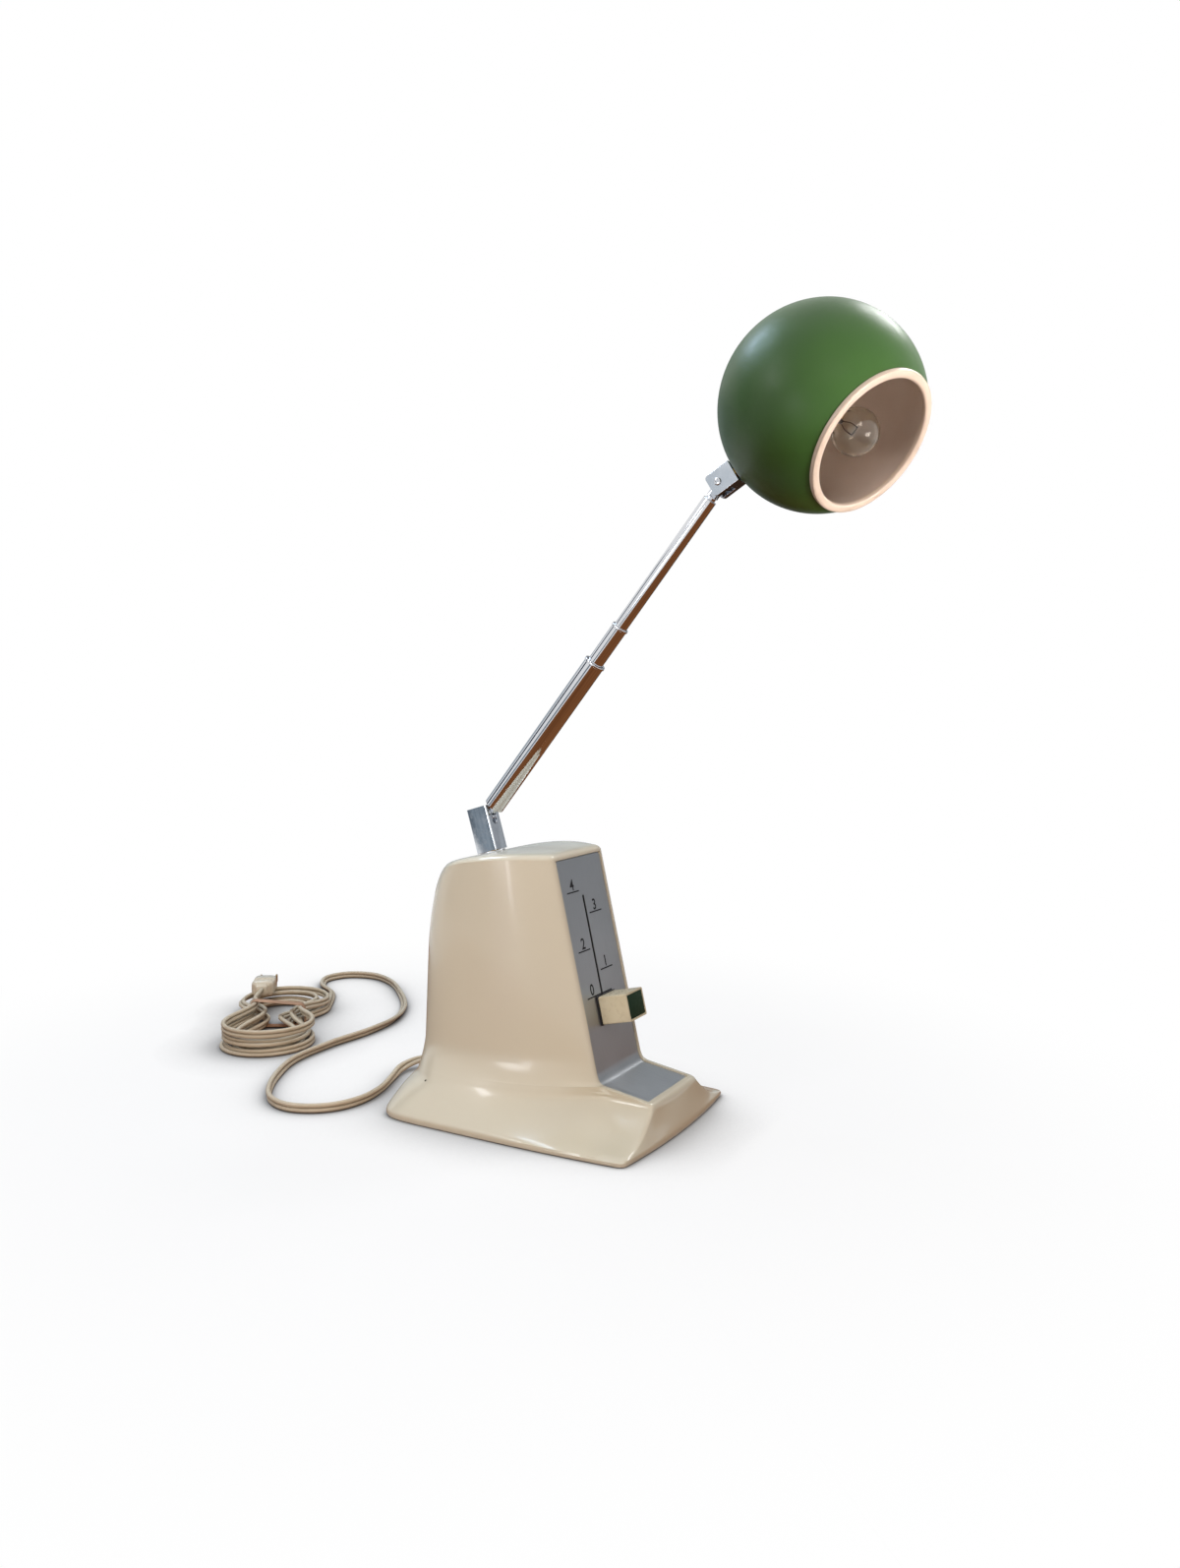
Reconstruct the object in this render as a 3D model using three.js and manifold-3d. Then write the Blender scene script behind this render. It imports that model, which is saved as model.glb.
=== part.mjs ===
// Telescoping desk lamp: flared base with a slide dimmer, a three-section arm on two slotted brackets,
// and a ball shade that tilts and turns at the arm's end.
// Millimetres, +Z up. Origin at the middle of the pad under the base. The front panel faces -Y.

import * as THREE from 'three';
import { mergeVertices } from 'three/addons/utils/BufferGeometryUtils.js';
import Module from 'manifold-3d';

const wasm = await Module();
wasm.setup();

// Driving dimensions

const GAP = 0.3; // left between pieces that touch or that are cut round each other
const RIM_GAP = 0.45; // left round the edge of a plate that drops into the shell
const PAST = 1; // how far a cutting tool runs past the face that it cuts
const RIGHT_ANGLE = 90; // degrees
const ROUND_SIDES = 16; // corners of a round piece
const SMALL_SIDES = 12; // corners of a small one
const NUT_SIDES = 6;

// Base shell
const FOOT_HALF_WIDTH = 71.3; // at the corners
const FOOT_HALF_DEPTH = 84.9; // at the corners
const FOOT_SIDE_BOW = 3.7;
const FOOT_END_BOW = 5;
const FOOT_BACK_BOW = 3;
const FOOT_SQUARE = 10; // how square the foot's back corners are, as a superellipse's power
const BODY_SQUARE = 3.4;
const RIM_LIFT = 0.4; // from the desk to the shell's lower edge
const RIM_TOP = 4.2;
const TOE_TOP = 22.6; // height of the toe's front edge
const TOE_IN = 1.3; // the toe's front edge, behind the foot's front corners
const TOE_LIP = 3.7; // from the front panel's edge to the toe's front edge
const HIP_SAG = 2.1; // how fast the toe's corners run in towards the front
const SHELL_TOP = 166;
const FRONT_HALF_WIDTH = 31;
const WAIST_HALF_WIDTH = 51; // half the width just above the flare
const TOP_HALF_WIDTH = 46.5;
const WAIST_IN = 5.9; // the back wall above the flare, in from the foot's back edge
const TOP_IN = 8.9; // the back wall at the roof, in from the foot's back edge
const FLARE_TOP = 45; // height where the flare meets the wall
const SIDE_FLARE = 1.7; // how sharply the sides flare, as a power
const BACK_FLARE = 1.6;
const WIDEST_Y = 30; // where the body is widest
const ROOF_FROM = 60; // height where the levels begin to lean with the roof
const ROLL_FROM = 100; // height where the back wall begins to roll forward
const BACK_DROP = 13; // how much lower the roof is at the back
const BACK_ROLL = 16; // how far the back wall rolls forward at the roof
const BROW = 3; // height of the roof's rounded edge
const ROOF_MIDDLE_Y = 20;
const ROOF_CURVE = 2.7; // how late the roof drops towards the back, as a power
const FRONT_POINTS = 2;
const SIDE_POINTS = 6;
const BACK_POINTS = 8;
const SHELL_WALL = 3;
const BOSS_RADIUS = 4.2;
const HEEL_BOSS_TOP = 60;

// Front panel, in its own frame: x across, y into the base, z up the panel from the bend
const PANEL_LEAN = 13.27; // degrees back from upright
const BEND_IN = 41.3; // the bend's upper end, behind the foot's front corners
const BEND_Z = 35.8;
const BEND_DROP = [-5.5, -7.4]; // y and z from the bend's upper end to its lower end
const BEND_CORNER = [-1.6, -6.8]; // y and z from the bend's upper end to where its tangents meet
const TOE_RUN = [-29.35, -4.55]; // y and z from the bend's lower end to the plate's front edge
const PANEL_WIDTH = 55.4;
const PANEL_LENGTH = 129;
const PANEL_THICKNESS = 0.8;
const PANEL_BORDER = 0.7; // how far the shell's border stands proud of the panel
const SLOT_X = -2.6;
const SLOT_WIDTH = 1.5;
const SLOT_SPARE = 0.8; // from the stem at rest to the slot's lower end
const SLOT_OVERRUN = 4.7; // from the stem at its top to the slot's upper end

// Slider
const TRAVEL = 65;
const KNOB_WIDTH = 22;
const KNOB_HEIGHT = 17.2;
const KNOB_DEPTH = 19.4;
const KNOB_REST = 33.6; // the knob's middle, up the panel from the bend
const INSET_BORDER = 1.2;
const INSET_THICKNESS = 0.9;
const GUARD_THICKNESS = 0.8;
const GUARD_RIM = 0.5; // how far the guard shows round the knob
const STEM_THICKNESS = 0.8;
const STEM_HEIGHT = 4;
const STEM_IN_KNOB = 10;
const TRACK_WIDTH = 13;
const TRACK_DEPTH = 8;
const TRACK_WALL = 1.2;
const TRACK_SLOT = 2.4;
const TRACK_SPARE = 1.5; // beyond the carriage at each end of its travel
const TRACK_EAR = 6.5;
const TRACK_SCREW_RADIUS = 1.2;
const CARRIAGE_HEIGHT = 10;
const CARRIAGE_CLEAR = 0.4;

// Cover, pad and screws
const PAD_THICKNESS = 2;
const PAD_INSET = 11;
const COVER_INSET = 8;
const COVER_THICKNESS = 1.2;
const SCREW_RADIUS = 1.6;
const SCREW_HEAD_RADIUS = 3.2;
const SCREW_HEAD = 1.2;
const SCREW_REACH = 12; // from under the head to the tip
const TOE_SCREW = [22, 18.9]; // x, and how far behind the foot's front corners
const HEEL_SCREW = [38, 17.9]; // x, and how far in front of the foot's back corners

// Transformer
const CORE_WIDTH = 54;
const CORE_STACK = 28;
const CORE_HEIGHT = 46;
const CORE_Y = 28;
const WINDING_OUT = 8; // how far the winding stands out of the core, front and back
const WINDING_CORNER = 5;
const STRAP_WIDTH = 20;
const STRAP_THICKNESS = 1.2;
const STRAP_FOOT = 10;

// Circuit board
const BOARD_WIDTH = 56;
const BOARD_DEPTH = 36;
const BOARD_THICKNESS = 1.6;
const BOARD_Y = -14;
const BOARD_LIFT = 5.5; // from the cover to the board
const PILLAR_RADIUS = 2.5;
const PILLAR_TIP = 1.2;
const PILLAR_INSET = 3.5;
const SINK_DEPTH = 16;
const SINK_HEIGHT = 22;
const SINK_WALL = 1.5;
const SINK_LENGTH = 20;
const SINK_X = -12;
const TRIAC = [10, 4, 14];
const CAPACITOR = [16, 8, 13];
const CAPACITOR_PLACE = [10, 9]; // x and y on the board, from its middle
const CHOKE_RADIUS = 8.5;
const CHOKE_BORE = 3.5;
const CHOKE_HEIGHT = 9;
const CHOKE_PLACE = [12, -8];

// Lower bracket and swivel
const SWIVEL_Y = 49.8;
const SWIVEL_DROP = 5.6; // from the shell's top down to the middle of the bracket's underside
const BRACKET_LEAN = 16.9; // degrees back from upright
const BRACKET_WIDTH = 13.3;
const LOWER_LENGTH = 15.5;
const LOWER_HEIGHT = 29.5;
const LOWER_CORNER = 0.8;
const LOWER_SLOT_DROP = 6.4; // from the pivot to the slot's lower end
const PIVOT_UP = 22.8; // pivot above the bracket's underside
const PIVOT_FRONT = 5.2; // bracket's front face to the pivot
const PIN_RADIUS = 1.5;
const BRACKET_BORE = 2.5; // for the wires
const WASHER_RADIUS = 8.6;
const WASHER_THICKNESS = 1;
const STUD_RADIUS = 4.75;
const STUD_BORE = 3.2;
const STUD_IN_BRACKET = 7.7;
const STUD_PAST_NUT = 4.6;
const SEAT_RADIUS = 9.6;
const SEAT_DEPTH = 6;
const NUT_FLATS = 15;
const NUT_HEIGHT = 3.5;

// Arm, along its own axis from the lower pivot
const ARM_ELEVATION = 51.3; // degrees above level, towards the front
const TONGUE_THICKNESS = 4.8;
const TONGUE_WIDTH = 5.4;
const EYE_RADIUS = 4.2;
const EYE_SIDES = 20;
const OUTER_START = 9;
const OUTER_END = 127.1;
const MIDDLE_SHOWN = 27.4;
const INNER_SHOWN = 91.6;
const NECK_LENGTH = 11.5; // inner tube's end to the upper pivot
const NECK_CLEAR = 8.9; // upper pivot to the round neck
const NECK_RADIUS = 2.9;
const OUTER_DIAMETER = 13;
const MIDDLE_DIAMETER = 10;
const INNER_DIAMETER = 8.4;
const TUBE_WALL = 0.5;
const COLLAR_LENGTH = 1.5;
const COLLAR_STEP = 0.45;
const COLLAR_BEVEL = 0.2;
const MIDDLE_HIDDEN = 86; // length of the middle tube inside the outer one
const INNER_HIDDEN = 18; // length of the inner tube inside the middle one
const GUIDE_LENGTH = 12;
const GUIDE_HEAD = 1.5;
const FOOT_PLUG = 5.5;
const HEAD_PLUG = 8;
const WIRE_BORE = 1.6;

// Upper bracket, along its own axis from the upper pivot towards the ball
const BALL_ELEVATION = 32;
const PIVOT_TO_SHADE = 11.2; // upper pivot to the ball's skin
const UPPER_BEHIND = 5.7; // bracket behind the pivot
const UPPER_HALF_HEIGHT = 6.7;
const UPPER_CORNER = 2.5;
const RIVET_HEAD_RADIUS = 2.2;
const RIVET_HEAD = 0.6;
const SHADE_STUD_RADIUS = 3;
const SHADE_STUD_PAST_NUT = 1.5;
const SHADE_NUT_FLATS = 9;
const SHADE_NUT_HEIGHT = 3;

// Shade, with z towards the middle of the mouth and the stud's hole in the x-z plane
const BALL_RADIUS = 57;
const BALL_WALL = 1;
const LINER_WALL = 0.9;
const LINER_HOLE = 9.5;
const BALL_SIDES = 28;
const BALL_ROWS = 11;
const MOUTH_RADIUS = 40.8;
const RIM_WIDTH = 5;
const RIM_DEPTH = 3.2;
const MOUTH_TURN = -18.96; // degrees, out of the arm's plane
const MOUTH_ELEVATION = -35.33;

// Lamp holder and bulb, about the shade's z
const STRIP_WIDTH = 10;
const STRIP_THICKNESS = 1.2;
const STRIP_FOOT = 6;
const STRIP_SEAT = 1.5; // from the ball's inside to the strip's flat foot
const STRIP_LEDGE = 6; // from the socket to the strip's bend
const SOCKET_RADIUS = 9.6;
const SOCKET_TOP = 9;
const SOCKET_BOTTOM = -15.5;
const SOCKET_FLOOR = 1; // under the bulb
const SOCKET_SCREW_IN = 3;
const BULB_BASE_RADIUS = 7.6;
const BULB_BASE_TOP = 11;
const BULB_BASE_BOTTOM = -9;
const BULB_NECK_RADIUS = 6.6;
const GLOBE_RADIUS = 13;
const GLOBE_HEIGHT = 28; // globe's middle above the ball's middle
const GLASS = 0.7;
const GLOBE_ROWS = 7;
const STEM_GLASS_RADIUS = 3.2;
const FILAMENT_WIRE = 0.35;
const FILAMENT_SPREAD = 2.4;
const FILAMENT_COIL = 0.5;
const WIRE_SIDES = 6;
const COIL_SIDES = 8;

// Cord
const CORD_RADIUS = 3;
const CORD_X = 24; // where the cord leaves the base
const CORD_Z = 9.5;
const RELIEF_RADIUS = 4.2;
const RELIEF_COLLAR = 5.4;
const RELIEF_COLLAR_LENGTH = 3;
const RELIEF_SETBACK = 5; // from the shell's back face to the collar inside
const RELIEF_TIP_RADIUS = 3.5;
const RELIEF_OUTSIDE = 12; // out of the shell's back wall
const RELIEF_INSIDE = 9;
const LEAD_RADIUS = 2.2;
const LEAD_SIDES = 8;
const MAINS_CLEAR = 3; // from the strap to the mains lead beside it
const MAINS_AT_RELIEF = [[0, 4, 0], [3, 11, 1]]; // x and z beside the cord, distance in from the relief
const MAINS_AT_CORE = [[0, 24, 1.5], [1, 8, 2], [0, -8, 1.5]]; // beside the strap, from the core's middle
const MAINS_AT_BOARD = [[7.7, 8, 1], [3, 4, 0.3], [0, 2, 0]]; // x beside the cord, distance behind the board
const WIRE_RADIUS = 2;
const WIRE_STEPS = 24;
const WIRE_BENDS = [[0.23, 11.7], [0.5, 9.7], [0.74, 0.7]]; // share of its rise, distance behind the winding
const LEAD_IN_STUD = 8; // how far the lamp lead runs into the stud
const FLOOR_CLEAR = 0.05;
const LEAD_STEPS = 80;
const LEAD_TURN_IN = 24; // where the cord comes in line with the hank, from the hank's start
const LEAD_DROP = [ // x, how far behind the strain relief's end, and height, as the cord comes down
  [23.4, 12, 8.9], [20, 18.1, 7.2], [11, 24.6, 5.4], [-1, 25.6, 4], [-16, 20.6, 3.3],
];
const LEAD_ON_DESK = [ // x, and how far behind the strain relief's end
  [-40, 12.1], [-62, 9.6], [-80, 15.1], [-92, 28.1], [-96, 44.1], [-90, 61.1], [-75, 76.1],
  [-50, 92.1], [-21, 104.1], [20, 107.1], [60, 104.1], [95, 108.1], [132, 126.1], [165, 156.1],
  [190, 186.1], [200, 213.1], [192, 236.1], [172, 243.1], [153, 232.1], [138, 209.1],
];
const HANK_MIDDLE = [40, 180.1]; // x, and how far behind the strain relief's end
const HANK_TURN = 35.5; // degrees from +X to the hank's long axis
const HANK_RUN = 90;
const HANK_FOLD = 18.5; // radius of the tightest fold
const HANK_PITCH = 8.5; // from turn to turn, side by side
const HANK_LAYER = 6.7; // from layer to layer
const LAYER_TURNS = 2;
const HANK_STEPS = 24; // steps in a turn
const HANK_SIDES = 6;
const HANK_COUNT = 112; // steps in all the turns
const WAIST_CLEAR = 3.4;
const TIE_WIDTH = 9;
const TIE_THICKNESS = 1;
const TIE_SIDES = 24; // corners that the band would have round one strand
const TAIL_RUN = 17.4; // from the last turn to the straight end
const TAIL_SHIFT = -1.5;
const PLUG_LENGTH = 27;
const PLUG_WIDTH = 18;
const PLUG_HEIGHT = 13;
const PLUG_CORNER = 3.5;
const PLUG_NECK = 5;
const BLADE_LENGTH = 16;
const BLADE_WIDTH = 6.3;
const BLADE_THICKNESS = 1.5;
const BLADE_SPREAD = 6.35;
const BLADE_IN = 8;

// Finishes

const finish = (color, roughness, metalness = 0) => ({ color, roughness, metalness });
const CREAM = finish('#cfc3a9', 0.3);
const ALUMINIUM = finish('#9aa3a8', 0.4, 0.9);
const CHROME = finish('#c9cdd2', 0.1, 1);
const GREEN = finish('#3c6b2c', 0.45);
const DARK_GREEN = finish('#1f3626', 0.5);
const BLACK = finish('#1a1a1b', 0.6);
const STEEL = finish('#8b8f93', 0.4, 0.9);
const BRASS = finish('#b08d4a', 0.35, 1);
const COPPER = finish('#a35a32', 0.4, 0.9);
const PHENOLIC = finish('#8a5a2e', 0.6);
const GLASS_CLEAR = finish('#dfe6e6', 0.05);
const CORD_TAN = finish('#b8a684', 0.55);
const BAND_TAN = finish('#a6825f', 0.6);
const PORCELAIN = finish('#e4dfd2', 0.4);

// Solids and helpers

const rad = THREE.MathUtils.degToRad;
const between = (low, high, share) => low + (high - low) * share;

// Bare positions with shared corners, and no triangle folded flat.
function closed(geometry) {
  for (const name of Object.keys(geometry.attributes)) {
    if (name !== 'position') geometry.deleteAttribute(name);
  }
  const merged = mergeVertices(geometry, 1e-4);
  const index = merged.index.array;
  const kept = [];
  for (let i = 0; i < index.length; i += 3) {
    const [a, b, c] = index.slice(i, i + 3);
    if (a !== b && b !== c && c !== a) kept.push(a, b, c);
  }
  merged.setIndex(kept);
  return merged;
}

function solid(geometry) {
  const merged = closed(geometry);
  return new wasm.Manifold(new wasm.Mesh({
    numProp: 3,
    vertProperties: new Float32Array(merged.attributes.position.array),
    triVerts: new Uint32Array(merged.index.array),
  }));
}

function geometryOf(manifold) {
  const mesh = manifold.getMesh();
  const geometry = new THREE.BufferGeometry();
  geometry.setAttribute('position', new THREE.BufferAttribute(new Float32Array(mesh.vertProperties), 3));
  geometry.setIndex(Array.from(mesh.triVerts));
  return geometry;
}

const less = (body, tools) => tools.reduce((left, tool) => left.subtract(solid(tool)), body);
const cut = (base, ...tools) => geometryOf(less(solid(base), tools));
const joined = (...pieces) => geometryOf(pieces.map(solid).reduce((body, piece) => body.add(piece)));

const moved = (geometry, x, y, z) => geometry.translate(x, y, z);
const box = (width, depth, height, x = 0, y = 0, z = 0) =>
  moved(new THREE.BoxGeometry(width, depth, height), x, y, z);

// A cylinder along z, from z0 to z1.
function round(radius, z0, z1, sides = ROUND_SIDES, x = 0, y = 0) {
  const geometry = new THREE.CylinderGeometry(radius, radius, z1 - z0, sides);
  return moved(geometry.rotateX(Math.PI / 2), x, y, (z0 + z1) / 2);
}

// What lies along z is laid along y, through x and z.
const alongY = (geometry, x, z) => moved(geometry.rotateX(-Math.PI / 2), x, 0, z);

// A cylinder along x, between -half and half.
function crossBar(radius, half, y = 0, z = 0, sides = SMALL_SIDES) {
  const geometry = new THREE.CylinderGeometry(radius, radius, 2 * half, sides);
  return moved(geometry.rotateZ(Math.PI / 2), 0, y, z);
}

// A turned piece about z, from its outline of [radius, height] points, anticlockwise seen with z up.
function turned(outline, sides = ROUND_SIDES) {
  const points = outline.map(([r, z]) => new THREE.Vector2(r, z));
  if (outline[0][0] > 0) points.push(points[0].clone());
  return new THREE.LatheGeometry(points, sides).rotateX(Math.PI / 2);
}

const ring = (outer, inner, z0, z1, sides = ROUND_SIDES) =>
  turned([[inner, z0], [outer, z0], [outer, z1], [inner, z1]], sides);

// A flat outline of [y, z] points, given a width along x.
function crossPlate(points, width) {
  const shape = new THREE.Shape(points.map(([y, z]) => new THREE.Vector2(y, z)));
  const geometry = new THREE.ExtrudeGeometry(shape, { depth: width, bevelEnabled: false });
  const turn = new THREE.Matrix4().set(0, 0, 1, 0, 1, 0, 0, 0, 0, 1, 0, 0, 0, 0, 0, 1);
  return moved(geometry.applyMatrix4(turn), -width / 2, 0, 0);
}

// A flat outline of [x, z] points, given a width along y.
function sidePlate(points, width) {
  const shape = new THREE.Shape(points.map(([x, z]) => new THREE.Vector2(x, z)));
  const geometry = new THREE.ExtrudeGeometry(shape, { depth: width, bevelEnabled: false });
  return moved(geometry.rotateX(Math.PI / 2), 0, width / 2, 0);
}

function roundedRectangle(width, height, radius, steps = 3) {
  const points = [];
  for (const [sx, sy, quarter] of [[1, 1, 0], [-1, 1, 1], [-1, -1, 2], [1, -1, 3]]) {
    for (let i = 0; i <= steps; i += 1) {
      const angle = rad(RIGHT_ANGLE * (quarter + i / steps));
      points.push([
        sx * (width / 2 - radius) + radius * Math.cos(angle),
        sy * (height / 2 - radius) + radius * Math.sin(angle),
      ]);
    }
  }
  return points;
}

// A block with rounded edges along z.
function roundedBlock(width, depth, z0, z1, radius) {
  const corners = roundedRectangle(width, depth, radius).map(([x, y]) => new THREE.Vector2(x, y));
  const settings = { depth: z1 - z0, bevelEnabled: false };
  return moved(new THREE.ExtrudeGeometry(new THREE.Shape(corners), settings), 0, 0, z0);
}

// A line of points moved to its right as it is followed, with sharp corners.
function offsetLine(points, distance) {
  const sides = points.slice(1).map((p, i) => {
    const run = [p[0] - points[i][0], p[1] - points[i][1]];
    const length = Math.hypot(...run);
    return [run[1] / length, -run[0] / length];
  });
  return points.map((p, i) => {
    const before = sides[Math.max(0, i - 1)];
    const after = sides[Math.min(sides.length - 1, i)];
    const scale = distance / (1 + before[0] * after[0] + before[1] * after[1]);
    return [p[0] + scale * (before[0] + after[0]), p[1] + scale * (before[1] + after[1])];
  });
}

// A closed skin through rings of points that all have the same count, capped at both ends.
function skin(rings) {
  const count = rings[0].length;
  const positions = rings.flat(2);
  const triangles = [];
  for (let k = 0; k + 1 < rings.length; k += 1) {
    for (let i = 0; i < count; i += 1) {
      const a = k * count + i;
      const b = k * count + (i + 1) % count;
      triangles.push(a, b, b + count, a, b + count, a + count);
    }
  }
  for (const [k, flip] of [[0, true], [rings.length - 1, false]]) {
    const middle = positions.length / 3;
    const mean = [0, 1, 2].map((axis) => rings[k].reduce((sum, p) => sum + p[axis], 0) / count);
    positions.push(...mean);
    for (let i = 0; i < count; i += 1) {
      const a = k * count + i;
      const b = k * count + (i + 1) % count;
      triangles.push(...(flip ? [b, a, middle] : [a, b, middle]));
    }
  }
  const geometry = new THREE.BufferGeometry();
  geometry.setAttribute('position', new THREE.Float32BufferAttribute(positions, 3));
  geometry.setIndex(triangles);
  return geometry;
}

const curve = (points) =>
  new THREE.CatmullRomCurve3(points.map((p) => new THREE.Vector3(...p)), false, 'centripetal');

// A round tube along a list of points.
function tube(points, radius, sides, steps) {
  const outline = Array.from({ length: sides }, (_, i) => {
    const angle = 2 * Math.PI * i / sides;
    return new THREE.Vector2(radius * Math.cos(angle), radius * Math.sin(angle));
  });
  return new THREE.ExtrudeGeometry(new THREE.Shape(outline), {
    steps, extrudePath: curve(points), bevelEnabled: false,
  });
}

function screw(radius, headRadius, reach) {
  return joined(round(headRadius, 0, SCREW_HEAD), round(radius, -reach, SCREW_HEAD / 2, SMALL_SIDES));
}

function nut(flats, bore, z0, z1) {
  return cut(round(flats / Math.sqrt(3), z0, z1, NUT_SIDES), round(bore, z0 - PAST, z1 + PAST));
}

const lamp = new THREE.Group();

function add(group, name, geometry, look) {
  const mesh = new THREE.Mesh(closed(geometry), new THREE.MeshStandardMaterial(look));
  mesh.name = name;
  group.add(mesh);
  return mesh;
}

// A frame in the arm's plane, leaning back from upright by so many degrees.
function frame(y, z, leanBack) {
  const group = new THREE.Group();
  group.position.set(0, y, z);
  group.rotation.x = rad(-leanBack);
  lamp.add(group);
  lamp.updateMatrixWorld(true);
  return group;
}
const placed = (group, geometry) => geometry.applyMatrix4(group.matrixWorld);
const pointOn = (group, z) => group.localToWorld(new THREE.Vector3(0, 0, z));

// Lines of the front, as [y, z] points from the top down

const bendY = BEND_IN - FOOT_HALF_DEPTH;
const leanTan = Math.tan(rad(PANEL_LEAN));
const fromBend = ([y, z]) => [bendY + y, BEND_Z + z];
const bendUpper = [bendY, BEND_Z];
const bendLower = fromBend(BEND_DROP);
const bendCorner = fromBend(BEND_CORNER);

// The panel's outer face, with its ends moved out by extra.
function panelLine(extra, toeExtra, bendSteps) {
  const up = PANEL_LENGTH + extra;
  const toe = 1 + toeExtra / Math.hypot(...TOE_RUN);
  const bend = Array.from({ length: bendSteps + 1 }, (_, i) => {
    const share = i / bendSteps;
    return [0, 1].map((axis) => (1 - share) ** 2 * bendUpper[axis]
      + 2 * share * (1 - share) * bendCorner[axis] + share ** 2 * bendLower[axis]);
  });
  return [
    [bendY + up * Math.sin(rad(PANEL_LEAN)), BEND_Z + up * Math.cos(rad(PANEL_LEAN))],
    ...bend,
    [bendLower[0] + toe * TOE_RUN[0], bendLower[1] + toe * TOE_RUN[1]],
  ];
}
const borderLine = offsetLine(panelLine(0, TOE_LIP, 2), PANEL_BORDER).slice(1).reverse();

// Base shell

const toeFront = TOE_IN - FOOT_HALF_DEPTH;
const backEdge = FOOT_HALF_DEPTH + FOOT_BACK_BOW;
const waistBack = backEdge - WAIST_IN;
const topBack = backEdge - TOP_IN;
const wallAt = (z, low, high) => between(low, high, (z - FLARE_TOP) / (SHELL_TOP - FLARE_TOP));

// How far a wall has opened out at height z, given its plain line and its place on the rim.
function flared(z, low, high, foot, sharpness) {
  const share = Math.max(0, (FLARE_TOP - z) / (FLARE_TOP - RIM_TOP));
  return wallAt(z, low, high) + (foot - wallAt(RIM_TOP, low, high)) * share ** sharpness;
}

// One ring of the skin, as points from the front's middle round by +x and back again.
function level({ z, backZ, frontY, frontHalf, half, backY, openY, bow, middleY, square }, inset) {
  const side = [];
  const front = frontY + inset;
  const back = backY - inset;
  const narrow = frontHalf - inset;
  const wide = half - inset;
  for (let i = 0; i < FRONT_POINTS; i += 1) {
    const share = i / FRONT_POINTS;
    side.push([narrow * share, front - bow * (1 - share ** 2)]);
  }
  for (let i = 0; i < SIDE_POINTS; i += 1) {
    const y = between(front, middleY, i / SIDE_POINTS);
    const share = Math.max(0, (y - openY - inset) / (middleY - openY - inset));
    side.push([between(narrow, wide, 1 - (1 - share) ** 2), y]);
  }
  for (let i = 0; i <= BACK_POINTS; i += 1) {
    const angle = Math.PI / 2 * i / BACK_POINTS;
    const x = i === BACK_POINTS ? 0 : wide * Math.cos(angle) ** (2 / square);
    side.push([x, middleY + (back - middleY) * Math.sin(angle) ** (2 / square)]);
  }
  const points = side.map(([x, y]) => {
    const share = THREE.MathUtils.clamp((y - front) / (back - front), 0, 1);
    return [x, y, z - (z - backZ) * share ** ROOF_CURVE - inset];
  });
  const mirrored = points.slice(1, -1).reverse().map(([x, y, height]) => [-x, y, height]);
  return [...points, ...mirrored];
}

function footLevel(z) {
  return {
    z, backZ: z, frontY: -FOOT_HALF_DEPTH, frontHalf: FOOT_HALF_WIDTH, half: FOOT_HALF_WIDTH + FOOT_SIDE_BOW,
    backY: backEdge, openY: -FOOT_HALF_DEPTH, bow: FOOT_END_BOW, middleY: 0,
    square: FOOT_SQUARE,
  };
}

// The toe, whose corners run in from the rim to the width of the front.
function toeLevel(share) {
  const z = between(RIM_TOP, TOE_TOP, share);
  return {
    z, backZ: z,
    frontY: between(-FOOT_HALF_DEPTH, toeFront, share),
    frontHalf: between(FOOT_HALF_WIDTH, FRONT_HALF_WIDTH, share ** (1 / HIP_SAG)),
    half: flared(z, WAIST_HALF_WIDTH, TOP_HALF_WIDTH, FOOT_HALF_WIDTH + FOOT_SIDE_BOW, SIDE_FLARE),
    backY: flared(z, waistBack, topBack, backEdge, BACK_FLARE),
    openY: between(-FOOT_HALF_DEPTH, bendLower[0], Math.sqrt(share)),
    bow: FOOT_END_BOW * (1 - share), middleY: WIDEST_Y * Math.sqrt(share),
    square: between(FOOT_SQUARE, BODY_SQUARE, share),
  };
}

function bodyLevel(z, frontY) {
  const rise = Math.max(0, (z - ROOF_FROM) / (SHELL_TOP - ROOF_FROM));
  const roll = Math.max(0, (z - ROLL_FROM) / (SHELL_TOP - ROLL_FROM));
  const back = flared(z, waistBack, topBack, backEdge, BACK_FLARE);
  return {
    z, backZ: z - BACK_DROP * rise ** 2, frontY, frontHalf: FRONT_HALF_WIDTH,
    half: flared(z, WAIST_HALF_WIDTH, TOP_HALF_WIDTH, FOOT_HALF_WIDTH + FOOT_SIDE_BOW, SIDE_FLARE),
    backY: back - BACK_ROLL * (1 - Math.sqrt(1 - roll ** 2)),
    openY: Math.max(frontY, bendLower[0]), bow: 0, middleY: WIDEST_Y, square: BODY_SQUARE,
  };
}

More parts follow.
